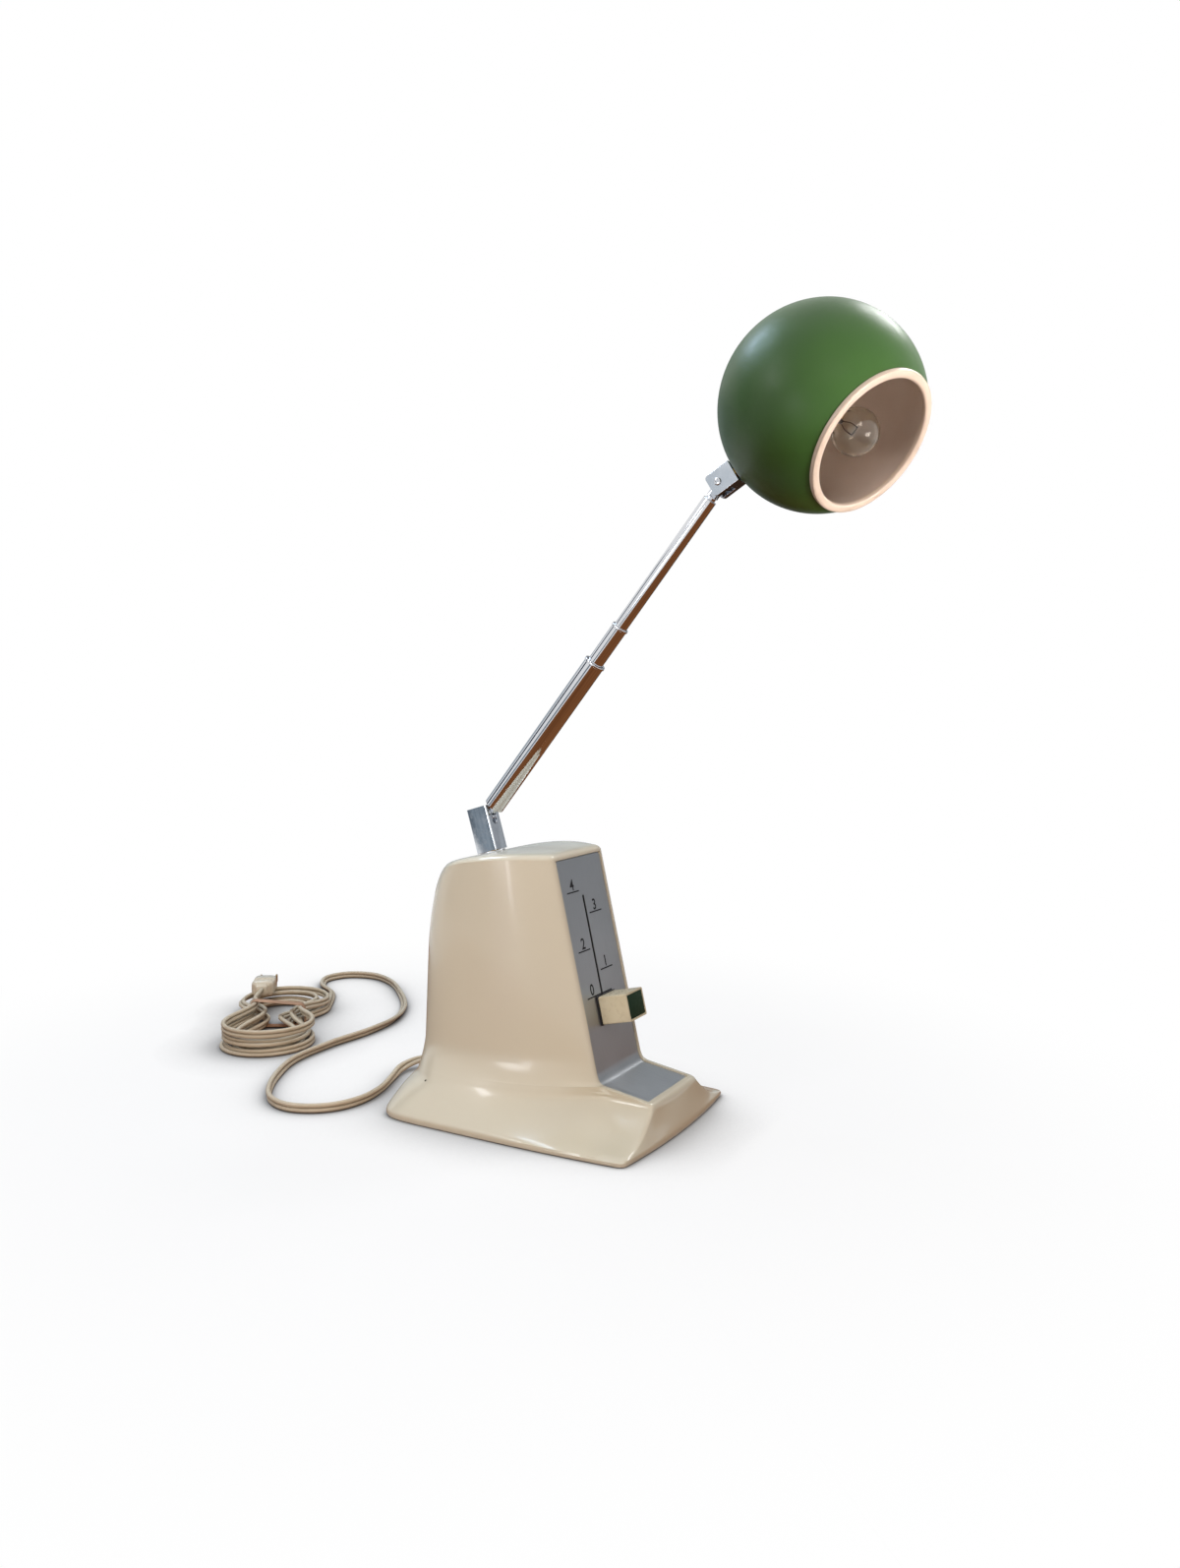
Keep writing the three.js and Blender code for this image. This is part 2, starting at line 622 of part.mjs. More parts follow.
// The rings from the desk to the roof, drawn in and lowered by inset.
function shellRings(inset) {
  const rings = [footLevel(RIM_LIFT), footLevel(RIM_TOP)].map((spec) => level(spec, inset));
  for (const share of [0.08, 0.22, 0.42, 0.68, 1]) rings.push(level(toeLevel(share), inset));
  for (const [y, z] of borderLine) rings.push(level(bodyLevel(z, y), inset));
  const upright = borderLine[borderLine.length - 1];
  const brow = SHELL_TOP - BROW;
  for (const share of [0.07, 0.2, 0.36, 0.54, 0.68, 0.8, 0.89, 0.95, 1]) {
    const z = between(upright[1], brow, share);
    rings.push(level(bodyLevel(z, upright[0] + (z - upright[1]) * leanTan), inset));
  }
  const top = rings[rings.length - 1];
  const front = top[0][1];
  const back = top[FRONT_POINTS + SIDE_POINTS + BACK_POINTS][1];
  const drop = top[0][2] - top[FRONT_POINTS + SIDE_POINTS + BACK_POINTS][2];
  for (const [shrink, lift] of [[0.03, 0.5], [0.08, 0.8], [0.18, 0.94], [0.45, 1], [0.75, 1]]) {
    rings.push(top.map(([x, y]) => {
      const newY = between(y, ROOF_MIDDLE_Y, shrink);
      const share = THREE.MathUtils.clamp((newY - front) / (back - front), 0, 1);
      return [x * (1 - shrink), newY, brow - inset + BROW * lift - drop * share ** ROOF_CURVE];
    }));
  }
  return rings;
}

const panelFrame = frame(bendY, BEND_Z, PANEL_LEAN);
const bracketFrame = frame(SWIVEL_Y, SHELL_TOP - SWIVEL_DROP, BRACKET_LEAN);

// The foot's outline as a flat plate.
function footPlate(inset, z0, z1) {
  const flat = (z) => level(footLevel(z), inset).map(([x, y]) => [x, y, z]);
  return skin([flat(z0), flat(z1)]);
}

const coverBottom = PAD_THICKNESS + GAP;
const coverTop = coverBottom + COVER_THICKNESS;
const overCover = coverTop + GAP;
const screwTip = PAD_THICKNESS + SCREW_REACH;
const coverScrews = [
  [TOE_SCREW[0], TOE_SCREW[1] - FOOT_HALF_DEPTH],
  [HEEL_SCREW[0], FOOT_HALF_DEPTH - HEEL_SCREW[1]],
].flatMap(([x, y]) => [[-x, y], [x, y]]);
const bossTop = (y) => (y < 0 ? TOE_TOP + PAST : HEEL_BOSS_TOP);
const screwHole = (z0, z1) => ([x, y]) => round(SCREW_RADIUS + GAP, z0, z1, SMALL_SIDES, x, y);

const slotBottom = KNOB_REST - STEM_HEIGHT / 2 - SLOT_SPARE;
const slotTop = KNOB_REST + TRAVEL + STEM_HEIGHT / 2 + SLOT_OVERRUN;
const slotMiddle = (slotBottom + slotTop) / 2;
const lean = rad(PANEL_LEAN);
const wallInside = SHELL_WALL * (Math.cos(lean) + Math.sin(lean)) - PANEL_BORDER;
const trackFront = wallInside + GAP;
const trackBottom = KNOB_REST - CARRIAGE_HEIGHT / 2 - TRACK_SPARE - TRACK_WALL;
const trackTop = KNOB_REST + TRAVEL + CARRIAGE_HEIGHT / 2 + TRACK_SPARE + TRACK_WALL;
const trackScrews = [trackBottom - TRACK_EAR / 2, trackTop + TRACK_EAR / 2];

const seatTop = -2 * GAP - WASHER_THICKNESS;
const seatBottom = seatTop - SEAT_DEPTH;
const backAtCord = flared(CORD_Z, waistBack, topBack, backEdge, BACK_FLARE);
const reliefExit = backAtCord + RELIEF_OUTSIDE;

function shell() {
  let hollow = solid(skin(shellRings(SHELL_WALL).slice(2)));
  hollow = hollow.add(solid(footPlate(COVER_INSET - RIM_GAP, -PAST, overCover)));
  for (const [x, y] of coverScrews) {
    hollow = hollow.subtract(solid(round(BOSS_RADIUS, overCover, bossTop(y), ROUND_SIDES, x, y)));
  }
  hollow = hollow.subtract(solid(placed(bracketFrame, round(SEAT_RADIUS, seatBottom, seatTop))));
  const recess = [
    ...offsetLine(panelLine(RIM_GAP, RIM_GAP, 5), SHELL_WALL),
    ...offsetLine(panelLine(RIM_GAP, RIM_GAP, 5), -PANEL_THICKNESS - GAP).reverse(),
  ];
  const slotWidth = TRACK_WIDTH - 2 * TRACK_WALL;
  const tools = [
    crossPlate(recess, PANEL_WIDTH + 2 * RIM_GAP),
    placed(panelFrame, box(slotWidth, 2 * trackFront, slotTop - slotBottom, SLOT_X, 0, slotMiddle)),
    placed(bracketFrame, round(SEAT_RADIUS + GAP, seatTop, seatTop + SEAT_DEPTH)),
    placed(bracketFrame, round(STUD_RADIUS + GAP, seatBottom - PAST, seatTop + PAST)),
    alongY(round(RELIEF_RADIUS + GAP, backAtCord - RELIEF_INSIDE, reliefExit), CORD_X, CORD_Z),
    ...coverScrews.map(screwHole(coverTop, screwTip + GAP)),
    ...trackScrews.map((z) => placed(panelFrame,
      alongY(round(TRACK_SCREW_RADIUS + GAP, 0, 2 * trackFront, SMALL_SIDES), SLOT_X, z))),
  ];
  return geometryOf(less(solid(skin(shellRings(0))).subtract(hollow), tools));
}
add(lamp, 'base_shell', shell(), CREAM);

// Front panel

const plate = crossPlate(
  [...panelLine(0, 0, 5), ...offsetLine(panelLine(0, 0, 5), -PANEL_THICKNESS).reverse()], PANEL_WIDTH);
const plateSlot = box(SLOT_WIDTH, 2 * trackFront, slotTop - slotBottom, SLOT_X, 0, slotMiddle);
add(lamp, 'front_panel', cut(plate, placed(panelFrame, plateSlot)), ALUMINIUM);

// Pad, cover and the four screws that hold them

const headHoles = coverScrews.map(([x, y]) =>
  round(SCREW_HEAD_RADIUS + PAST, -PAST, coverBottom, ROUND_SIDES, x, y));
add(lamp, 'base_pad', cut(footPlate(PAD_INSET, 0, PAD_THICKNESS), ...headHoles), BLACK);

const strapInner = CORE_WIDTH / 2 + GAP;
const strapOuter = strapInner + STRAP_THICKNESS;
const strapScrews = [-1, 1].map((side) => [side * (strapOuter + STRAP_FOOT / 2), CORE_Y]);
const boardBottom = coverTop + BOARD_LIFT;
const boardTop = boardBottom + BOARD_THICKNESS;
const pillarX = BOARD_WIDTH / 2 - PILLAR_INSET;
const pillarY = BOARD_DEPTH / 2 - PILLAR_INSET;
const pillars = [[-1, -1], [1, -1], [-1, 1], [1, 1]]
  .map(([sideX, sideY]) => [sideX * pillarX, BOARD_Y + sideY * pillarY]);
const coverHoles = [...coverScrews, ...strapScrews].map(screwHole(0, overCover));
const coverMiddle = coverBottom + COVER_THICKNESS / 2;
add(lamp, 'bottom_cover', joined(
  cut(footPlate(COVER_INSET, coverBottom, coverTop), ...coverHoles),
  ...pillars.map(([x, y]) => round(PILLAR_RADIUS, coverMiddle, boardBottom - GAP, SMALL_SIDES, x, y)),
  ...pillars.map(([x, y]) => round(PILLAR_TIP, coverTop, boardTop + PAST, SMALL_SIDES, x, y)),
), STEEL);
coverScrews.forEach(([x, y], index) => {
  const coverScrew = screw(SCREW_RADIUS, SCREW_HEAD_RADIUS, SCREW_REACH);
  const mesh = add(lamp, `cover_screw_${index + 1}`, coverScrew, STEEL);
  mesh.rotation.x = Math.PI;
  mesh.position.set(x, y, PAD_THICKNESS);
});

// Transformer: laminated core, winding round its middle limb, and the strap that holds it to the cover

const limb = CORE_WIDTH / 6;
const coreMiddle = overCover + CORE_HEIGHT / 2;
const windowHeight = CORE_HEIGHT - 2 * limb;
add(lamp, 'transformer_core', cut(
  box(CORE_WIDTH, CORE_STACK, CORE_HEIGHT, 0, CORE_Y, coreMiddle),
  ...[-1.5, 1.5].map((limbs) =>
    box(limb, CORE_STACK + 2 * PAST, windowHeight, limbs * limb, CORE_Y, coreMiddle)),
), STEEL);
const windingHalf = windowHeight / 2 - GAP;
const winding = roundedBlock(
  4 * limb - 2 * GAP, CORE_STACK + 2 * WINDING_OUT, -windingHalf, windingHalf, WINDING_CORNER);
const limbHole = box(2 * limb + 2 * GAP, CORE_STACK + 2 * GAP, windowHeight);
add(lamp, 'transformer_winding', moved(cut(winding, limbHole), 0, CORE_Y, coreMiddle), COPPER);

const strapTop = overCover + CORE_HEIGHT + GAP;
const strapOutside = [
  [strapOuter + STRAP_FOOT, overCover], [strapOuter + STRAP_FOOT, overCover + STRAP_THICKNESS],
  [strapOuter, overCover + STRAP_THICKNESS], [strapOuter, strapTop + STRAP_THICKNESS],
];
const strapInside = [[strapInner, strapTop], [strapInner, overCover]];
const toLeft = ([x, z]) => [-x, z];
const strap = moved(sidePlate([
  ...strapOutside, ...strapOutside.map(toLeft).reverse(),
  ...strapInside.map(toLeft).reverse(), ...strapInside,
], STRAP_WIDTH), 0, CORE_Y, 0);
add(lamp, 'transformer_strap', cut(strap, ...strapScrews.map(screwHole(0, strapTop))), STEEL);
strapScrews.forEach(([x, y], index) => {
  const under = overCover + STRAP_THICKNESS + GAP;
  const mesh = add(lamp, `strap_screw_${index + 1}`,
    screw(SCREW_RADIUS, SCREW_HEAD_RADIUS, under - coverBottom), STEEL);
  mesh.position.set(x, y, under);
});

// Circuit board and what stands on it

add(lamp, 'circuit_board', cut(
  box(BOARD_WIDTH, BOARD_DEPTH, BOARD_THICKNESS, 0, BOARD_Y, boardBottom + BOARD_THICKNESS / 2),
  ...pillars.map(([x, y]) =>
    round(PILLAR_TIP + GAP, boardBottom - PAST, boardTop + PAST, SMALL_SIDES, x, y)),
), PHENOLIC);
const onBoard = boardTop + GAP;
const sinkInside = SINK_DEPTH / 2 - SINK_WALL;
add(lamp, 'heat_sink', moved(crossPlate([
  [-SINK_DEPTH / 2, 0], [SINK_DEPTH / 2, 0], [SINK_DEPTH / 2, SINK_HEIGHT], [sinkInside, SINK_HEIGHT],
  [sinkInside, SINK_WALL], [-sinkInside, SINK_WALL], [-sinkInside, SINK_HEIGHT],
  [-SINK_DEPTH / 2, SINK_HEIGHT],
], SINK_LENGTH), SINK_X, BOARD_Y, onBoard), ALUMINIUM);
add(lamp, 'triac', box(...TRIAC, SINK_X, BOARD_Y + sinkInside - GAP - TRIAC[1] / 2,
  onBoard + SINK_WALL + GAP + TRIAC[2] / 2), BLACK);
add(lamp, 'capacitor', box(...CAPACITOR, CAPACITOR_PLACE[0], BOARD_Y + CAPACITOR_PLACE[1],
  onBoard + CAPACITOR[2] / 2), BAND_TAN);
add(lamp, 'choke', moved(ring(CHOKE_RADIUS, CHOKE_BORE, 0, CHOKE_HEIGHT),
  CHOKE_PLACE[0], BOARD_Y + CHOKE_PLACE[1], onBoard), COPPER);

// Slide track behind the panel, and the slider that runs in it

const trackMiddle = (trackBottom + trackTop) / 2;
const trackLength = trackTop - trackBottom;
add(panelFrame, 'slide_track', cut(
  joined(
    box(TRACK_WIDTH, TRACK_DEPTH, trackLength, SLOT_X, trackFront + TRACK_DEPTH / 2, trackMiddle),
    box(TRACK_WIDTH, TRACK_WALL, trackLength + 2 * TRACK_EAR,
      SLOT_X, trackFront + TRACK_WALL / 2, trackMiddle),
  ),
  box(TRACK_WIDTH - 2 * TRACK_WALL, TRACK_DEPTH - 2 * TRACK_WALL, trackLength - 2 * TRACK_WALL,
    SLOT_X, trackFront + TRACK_DEPTH / 2, trackMiddle),
  box(TRACK_SLOT, 2 * TRACK_WALL + PAST, trackLength - 4 * TRACK_WALL, SLOT_X, trackFront, trackMiddle),
  ...trackScrews.map((z) =>
    alongY(round(TRACK_SCREW_RADIUS + GAP, 0, trackFront + TRACK_DEPTH, SMALL_SIDES), SLOT_X, z)),
), STEEL);
const underTrackHead = trackFront + TRACK_WALL + GAP;
trackScrews.forEach((z, index) => {
  const mesh = add(panelFrame, `track_screw_${index + 1}`,
    screw(TRACK_SCREW_RADIUS, 2 * TRACK_SCREW_RADIUS, underTrackHead - PANEL_THICKNESS - 2 * GAP), STEEL);
  mesh.rotation.x = -Math.PI / 2;
  mesh.position.set(SLOT_X, underTrackHead, z);
});

const carriageFront = trackFront + TRACK_WALL + CARRIAGE_CLEAR;
const carriageDepth = TRACK_DEPTH - 2 * TRACK_WALL - 2 * CARRIAGE_CLEAR;
const stemBack = carriageFront + carriageDepth / 2;
const guardFront = -GAP - GUARD_THICKNESS;
const knobBack = guardFront - GAP;
const knobFront = knobBack - KNOB_DEPTH;
const stemFront = knobBack - STEM_IN_KNOB;
// A slot for the stem between two depths.
const stemSlot = (front, back) => box(STEM_THICKNESS + 2 * GAP, back - front, STEM_HEIGHT + 2 * GAP,
  SLOT_X, (front + back) / 2, KNOB_REST);
const insetWidth = KNOB_WIDTH - 2 * INSET_BORDER;
const insetHeight = KNOB_HEIGHT - 2 * INSET_BORDER;
add(panelFrame, 'slider_guard', cut(
  box(KNOB_WIDTH + 2 * GUARD_RIM, GUARD_THICKNESS, KNOB_HEIGHT + 2 * GUARD_RIM,
    0, guardFront + GUARD_THICKNESS / 2, KNOB_REST),
  stemSlot(knobBack, 0),
), BLACK);
add(panelFrame, 'slider_knob', cut(
  box(KNOB_WIDTH, KNOB_DEPTH, KNOB_HEIGHT, 0, knobBack - KNOB_DEPTH / 2, KNOB_REST),
  box(insetWidth, 2 * (INSET_THICKNESS + GAP), insetHeight, 0, knobFront, KNOB_REST),
  stemSlot(stemFront - GAP, 0),
), CREAM);
add(panelFrame, 'knob_inset', box(insetWidth - 2 * GAP, INSET_THICKNESS, insetHeight - 2 * GAP,
  0, knobFront + INSET_THICKNESS / 2, KNOB_REST), DARK_GREEN);
add(panelFrame, 'slider_stem', box(STEM_THICKNESS, stemBack - stemFront, STEM_HEIGHT,
  SLOT_X, (stemBack + stemFront) / 2, KNOB_REST), STEEL);
add(panelFrame, 'slider_carriage', cut(
  box(TRACK_WIDTH - 2 * TRACK_WALL - 2 * CARRIAGE_CLEAR, carriageDepth, CARRIAGE_HEIGHT,
    SLOT_X, carriageFront + carriageDepth / 2, KNOB_REST),
  stemSlot(0, stemBack + GAP),
), BLACK);

// Lower bracket, which turns on its stud

const pivotY = PIVOT_FRONT - LOWER_LENGTH / 2;
const tongueSlot = TONGUE_THICKNESS + 2 * GAP;
const eyeRoom = EYE_RADIUS + GAP;
const slotEnd = PIVOT_UP - LOWER_SLOT_DROP;
const slotRoundZ = slotEnd + tongueSlot / 2;
const slotFront = -LOWER_LENGTH / 2 - PAST;
const slotBack = pivotY + eyeRoom;
add(bracketFrame, 'lower_bracket', cut(
  roundedBlock(BRACKET_WIDTH, LOWER_LENGTH, 0, LOWER_HEIGHT, LOWER_CORNER),
  box(tongueSlot, slotBack - slotFront, LOWER_HEIGHT + PAST - slotRoundZ,
    0, (slotBack + slotFront) / 2, (LOWER_HEIGHT + PAST + slotRoundZ) / 2),
  alongY(round(tongueSlot / 2, slotFront, slotBack), 0, slotRoundZ),
  crossBar(PIN_RADIUS + GAP, BRACKET_WIDTH, pivotY, PIVOT_UP),
  round(STUD_RADIUS + GAP, -PAST, STUD_IN_BRACKET + GAP),
  round(BRACKET_BORE, 0, slotRoundZ, SMALL_SIDES),
), CHROME);
add(bracketFrame, 'lower_pin', crossBar(PIN_RADIUS, BRACKET_WIDTH / 2 - GAP, pivotY, PIVOT_UP), STEEL);
add(bracketFrame, 'swivel_washer',
  ring(WASHER_RADIUS, STUD_RADIUS + GAP, -GAP - WASHER_THICKNESS, -GAP), CHROME);
const swivelNutTop = seatBottom - GAP;
const swivelNutBottom = swivelNutTop - NUT_HEIGHT;
const studBottom = swivelNutBottom - STUD_PAST_NUT;
add(bracketFrame, 'swivel_stud', ring(STUD_RADIUS, STUD_BORE, studBottom, STUD_IN_BRACKET), BRASS);
add(bracketFrame, 'swivel_nut', nut(NUT_FLATS, STUD_RADIUS + GAP, swivelNutBottom, swivelNutTop), BRASS);

// Arm: three tubes that slide in each other

const lowerPivot = bracketFrame.localToWorld(new THREE.Vector3(0, pivotY, PIVOT_UP));
const armFrame = frame(lowerPivot.y, lowerPivot.z, ARM_ELEVATION - RIGHT_ANGLE);
const middleEnd = OUTER_END + MIDDLE_SHOWN;
const innerEnd = middleEnd + INNER_SHOWN;
const armTip = innerEnd + NECK_LENGTH;
const middleStart = OUTER_END - MIDDLE_HIDDEN;
const innerStart = middleEnd - INNER_HIDDEN;
const outerBore = OUTER_DIAMETER / 2 - TUBE_WALL;
const middleBore = MIDDLE_DIAMETER / 2 - TUBE_WALL;
const innerBore = INNER_DIAMETER / 2 - TUBE_WALL;

// The flat tongue with its eye at height z, and its root from z0 to z1.
const tongue = (z, z0, z1) => joined(
  crossBar(EYE_RADIUS, TONGUE_THICKNESS / 2, 0, z, EYE_SIDES),
  box(TONGUE_THICKNESS, TONGUE_WIDTH, z1 - z0, 0, 0, (z0 + z1) / 2),
);
add(armFrame, 'arm_foot', cut(
  joined(
    tongue(0, 0, OUTER_START + PAST),
    round(outerBore - GAP, OUTER_START + GAP, OUTER_START + FOOT_PLUG),
  ),
  crossBar(PIN_RADIUS + GAP, TONGUE_THICKNESS),
), CHROME);

// A tube with a rolled collar round its mouth.
function collared(outer, bore, mouth, start, end) {
  const neck = end - COLLAR_LENGTH;
  const collar = outer + COLLAR_STEP;
  return turned([
    [bore, start], [outer, start], [outer, neck],
    [collar, neck + COLLAR_BEVEL], [collar, end - COLLAR_BEVEL], [outer, end],
    [mouth, end], [mouth, neck], [bore, neck - COLLAR_BEVEL],
  ]);
}
add(armFrame, 'outer_tube', collared(
  OUTER_DIAMETER / 2, outerBore, MIDDLE_DIAMETER / 2 + GAP, OUTER_START, OUTER_END), CHROME);
add(armFrame, 'middle_tube', collared(
  MIDDLE_DIAMETER / 2, middleBore, INNER_DIAMETER / 2 + GAP, middleStart, middleEnd), CHROME);
add(armFrame, 'middle_guide', ring(outerBore - GAP, MIDDLE_DIAMETER / 2 + GAP,
  middleStart + GUIDE_HEAD, middleStart + GUIDE_HEAD + GUIDE_LENGTH), BRASS);
add(armFrame, 'inner_tube', ring(INNER_DIAMETER / 2, innerBore, innerStart, innerEnd), CHROME);
add(armFrame, 'inner_guide', cut(
  joined(
    round(INNER_DIAMETER / 2, innerStart - GAP - GUIDE_HEAD, innerStart - GAP),
    round(innerBore - GAP, innerStart - GAP - GUIDE_HEAD / 2, innerStart + GUIDE_LENGTH / 2),
  ),
  round(WIRE_BORE, innerStart - GUIDE_LENGTH, innerStart + GUIDE_LENGTH, SMALL_SIDES),
), BRASS);
add(armFrame, 'arm_head', cut(
  joined(
    round(innerBore - GAP, innerEnd - HEAD_PLUG, innerEnd + GAP),
    round(NECK_RADIUS, innerEnd, armTip - NECK_CLEAR),
    tongue(armTip, armTip - NECK_CLEAR - PAST, armTip),
  ),
  crossBar(PIN_RADIUS + GAP, TONGUE_THICKNESS, 0, armTip),
), CHROME);

// Upper bracket

const upperPivot = pointOn(armFrame, armTip);
const upperFrame = frame(upperPivot.y, upperPivot.z, BALL_ELEVATION - RIGHT_ANGLE);
const upperAhead = PIVOT_TO_SHADE - GAP;
const pivotToBall = PIVOT_TO_SHADE + BALL_RADIUS;
const upperLength = upperAhead + UPPER_BEHIND;
const studHoleStart = eyeRoom + PAST;
add(upperFrame, 'upper_bracket', cut(
  joined(
    moved(crossPlate(roundedRectangle(2 * UPPER_HALF_HEIGHT, upperLength, UPPER_CORNER), BRACKET_WIDTH),
      0, 0, upperAhead - upperLength / 2),
    box(BRACKET_WIDTH, 2 * UPPER_HALF_HEIGHT, 2 * UPPER_CORNER, 0, 0, upperAhead - UPPER_CORNER),
  ),
  box(tongueSlot, UPPER_HALF_HEIGHT + PAST + eyeRoom, UPPER_BEHIND + PAST + eyeRoom,
    0, (eyeRoom - UPPER_HALF_HEIGHT - PAST) / 2, (eyeRoom - UPPER_BEHIND - PAST) / 2),
  crossBar(PIN_RADIUS + GAP, BRACKET_WIDTH),
  round(SHADE_STUD_RADIUS + GAP, studHoleStart, upperAhead + PAST),
  round(WIRE_BORE, 0, upperAhead, SMALL_SIDES),
), CHROME);
const rivetHead = BRACKET_WIDTH / 2 + GAP + RIVET_HEAD / 2;
add(upperFrame, 'upper_rivet', joined(
  crossBar(PIN_RADIUS, rivetHead),
  ...[-1, 1].map((side) => moved(crossBar(RIVET_HEAD_RADIUS, RIVET_HEAD / 2), side * rivetHead, 0, 0)),
), STEEL);
const stripFootNear = PIVOT_TO_SHADE + BALL_WALL + STRIP_SEAT;
const shadeNutStart = stripFootNear + STRIP_THICKNESS + GAP;
const shadeNutEnd = shadeNutStart + SHADE_NUT_HEIGHT;
add(upperFrame, 'shade_stud', ring(
  SHADE_STUD_RADIUS, WIRE_BORE, studHoleStart + GAP, shadeNutEnd + SHADE_STUD_PAST_NUT), BRASS);
add(upperFrame, 'shade_nut',
  nut(SHADE_NUT_FLATS, SHADE_STUD_RADIUS + GAP, shadeNutStart, shadeNutEnd), BRASS);

// Shade: ball, liner and rim

const turnAside = rad(MOUTH_TURN);
const rise = rad(MOUTH_ELEVATION);
const mouth = new THREE.Vector3(
  Math.sin(turnAside) * Math.cos(rise), -Math.cos(turnAside) * Math.cos(rise), Math.sin(rise));
const studWay = pointOn(upperFrame, -1).sub(upperFrame.position);
const across = studWay.clone().addScaledVector(mouth, -studWay.dot(mouth)).normalize();
const studAngle = studWay.angleTo(mouth);
const towardsStud = (geometry) => geometry.rotateY(studAngle);

const shadeFrame = new THREE.Group();
shadeFrame.position.copy(pointOn(upperFrame, pivotToBall));
shadeFrame.setRotationFromMatrix(new THREE.Matrix4().makeBasis(across, mouth.clone().cross(across), mouth));
lamp.add(shadeFrame);

// A shell of a sphere about z, from its pole at -z up to its mouth.
function bowl(outer, inner, mouthHeight, sides, rows) {
  const arc = (radius) => Array.from({ length: rows + 1 }, (_, i) => {
    const angle = between(Math.PI, Math.acos(mouthHeight / radius), i / rows);
    return [i === 0 ? 0 : radius * Math.sin(angle), radius * Math.cos(angle)];
  });
  return turned([...arc(outer), ...arc(inner).reverse()], sides);
}
const mouthZ = Math.sqrt(BALL_RADIUS ** 2 - MOUTH_RADIUS ** 2);
add(shadeFrame, 'shade_shell', cut(
  bowl(BALL_RADIUS, BALL_RADIUS - BALL_WALL, mouthZ, BALL_SIDES, BALL_ROWS),
  towardsStud(round(SHADE_STUD_RADIUS + GAP, BALL_RADIUS - 5 * BALL_WALL, BALL_RADIUS + PAST)),
), GREEN);
const linerRadius = BALL_RADIUS - BALL_WALL - GAP;
add(shadeFrame, 'shade_liner', cut(
  bowl(linerRadius, linerRadius - LINER_WALL, mouthZ - GAP, BALL_SIDES, BALL_ROWS),
  towardsStud(round(LINER_HOLE, BALL_RADIUS / 2, BALL_RADIUS + PAST)),
), CREAM);
const rimInside = MOUTH_RADIUS - RIM_WIDTH;
add(shadeFrame, 'shade_rim', turned([
  [rimInside, mouthZ + GAP], [MOUTH_RADIUS, mouthZ + GAP],
  ...[[0, 0.5], [0.2, 0.9], [0.5, 1], [0.8, 0.9], [1, 0.5]]
    .map(([inward, up]) => [MOUTH_RADIUS - inward * RIM_WIDTH, mouthZ + up * RIM_DEPTH]),
], BALL_SIDES), CREAM);

// Lamp holder: the strip from the stud to the socket, the socket and its screw

const stripMiddle = SOCKET_BOTTOM - GAP - STRIP_THICKNESS / 2;
const footOut = pivotToBall - stripFootNear - STRIP_THICKNESS / 2;
const footPoint = (along) => [
  Math.sin(studAngle) * footOut - Math.cos(studAngle) * along,
  Math.cos(studAngle) * footOut + Math.sin(studAngle) * along,
];
const stripLine = [
  footPoint(STRIP_FOOT), footPoint(-STRIP_FOOT),
  [SOCKET_RADIUS + STRIP_LEDGE, stripMiddle], [-SOCKET_RADIUS, stripMiddle],
];
const strip = sidePlate([
  ...offsetLine(stripLine, STRIP_THICKNESS / 2), ...offsetLine(stripLine, -STRIP_THICKNESS / 2).reverse(),
], STRIP_WIDTH);
add(shadeFrame, 'socket_bracket', cut(
  strip,
  towardsStud(round(SHADE_STUD_RADIUS + GAP, footOut - STRIP_FOOT, footOut + STRIP_FOOT)),
  screwHole(stripMiddle - STRIP_THICKNESS, stripMiddle + STRIP_THICKNESS)([0, 0]),
), STEEL);
add(shadeFrame, 'bulb_socket', cut(
  round(SOCKET_RADIUS, SOCKET_BOTTOM, SOCKET_TOP),
  round(BULB_BASE_RADIUS + GAP, BULB_BASE_BOTTOM - GAP - SOCKET_FLOOR, SOCKET_TOP + PAST),
  screwHole(SOCKET_BOTTOM - PAST, SOCKET_BOTTOM + SOCKET_SCREW_IN + GAP)([0, 0]),
), PORCELAIN);
const socketScrew = add(shadeFrame, 'socket_screw',
  screw(SCREW_RADIUS, SCREW_HEAD_RADIUS, STRIP_THICKNESS + 2 * GAP + SOCKET_SCREW_IN), STEEL);
socketScrew.rotation.x = Math.PI;
socketScrew.position.z = stripMiddle - STRIP_THICKNESS / 2 - GAP;

// Bulb

add(shadeFrame, 'bulb_base', round(BULB_BASE_RADIUS, BULB_BASE_BOTTOM, BULB_BASE_TOP), BRASS);
const glassStart = BULB_BASE_TOP + GAP;
// The globe's section from its neck to its top.
function globeArc(radius, neck) {
  const start = Math.PI - Math.asin(neck / radius);
  return Array.from({ length: GLOBE_ROWS + 1 }, (_, i) => {
    const angle = between(start, 0, i / GLOBE_ROWS);
    return [i === GLOBE_ROWS ? 0 : radius * Math.sin(angle), GLOBE_HEIGHT + radius * Math.cos(angle)];
  });
}
const innerNeck = BULB_NECK_RADIUS - GLASS;
add(shadeFrame, 'bulb_glass', turned([
  ...globeArc(GLOBE_RADIUS - GLASS, innerNeck).reverse(), [innerNeck, glassStart],
  [BULB_NECK_RADIUS, glassStart], ...globeArc(GLOBE_RADIUS, BULB_NECK_RADIUS),
]), GLASS_CLEAR);
const stemTop = GLOBE_HEIGHT - Math.sqrt(GLOBE_RADIUS ** 2 - BULB_NECK_RADIUS ** 2);
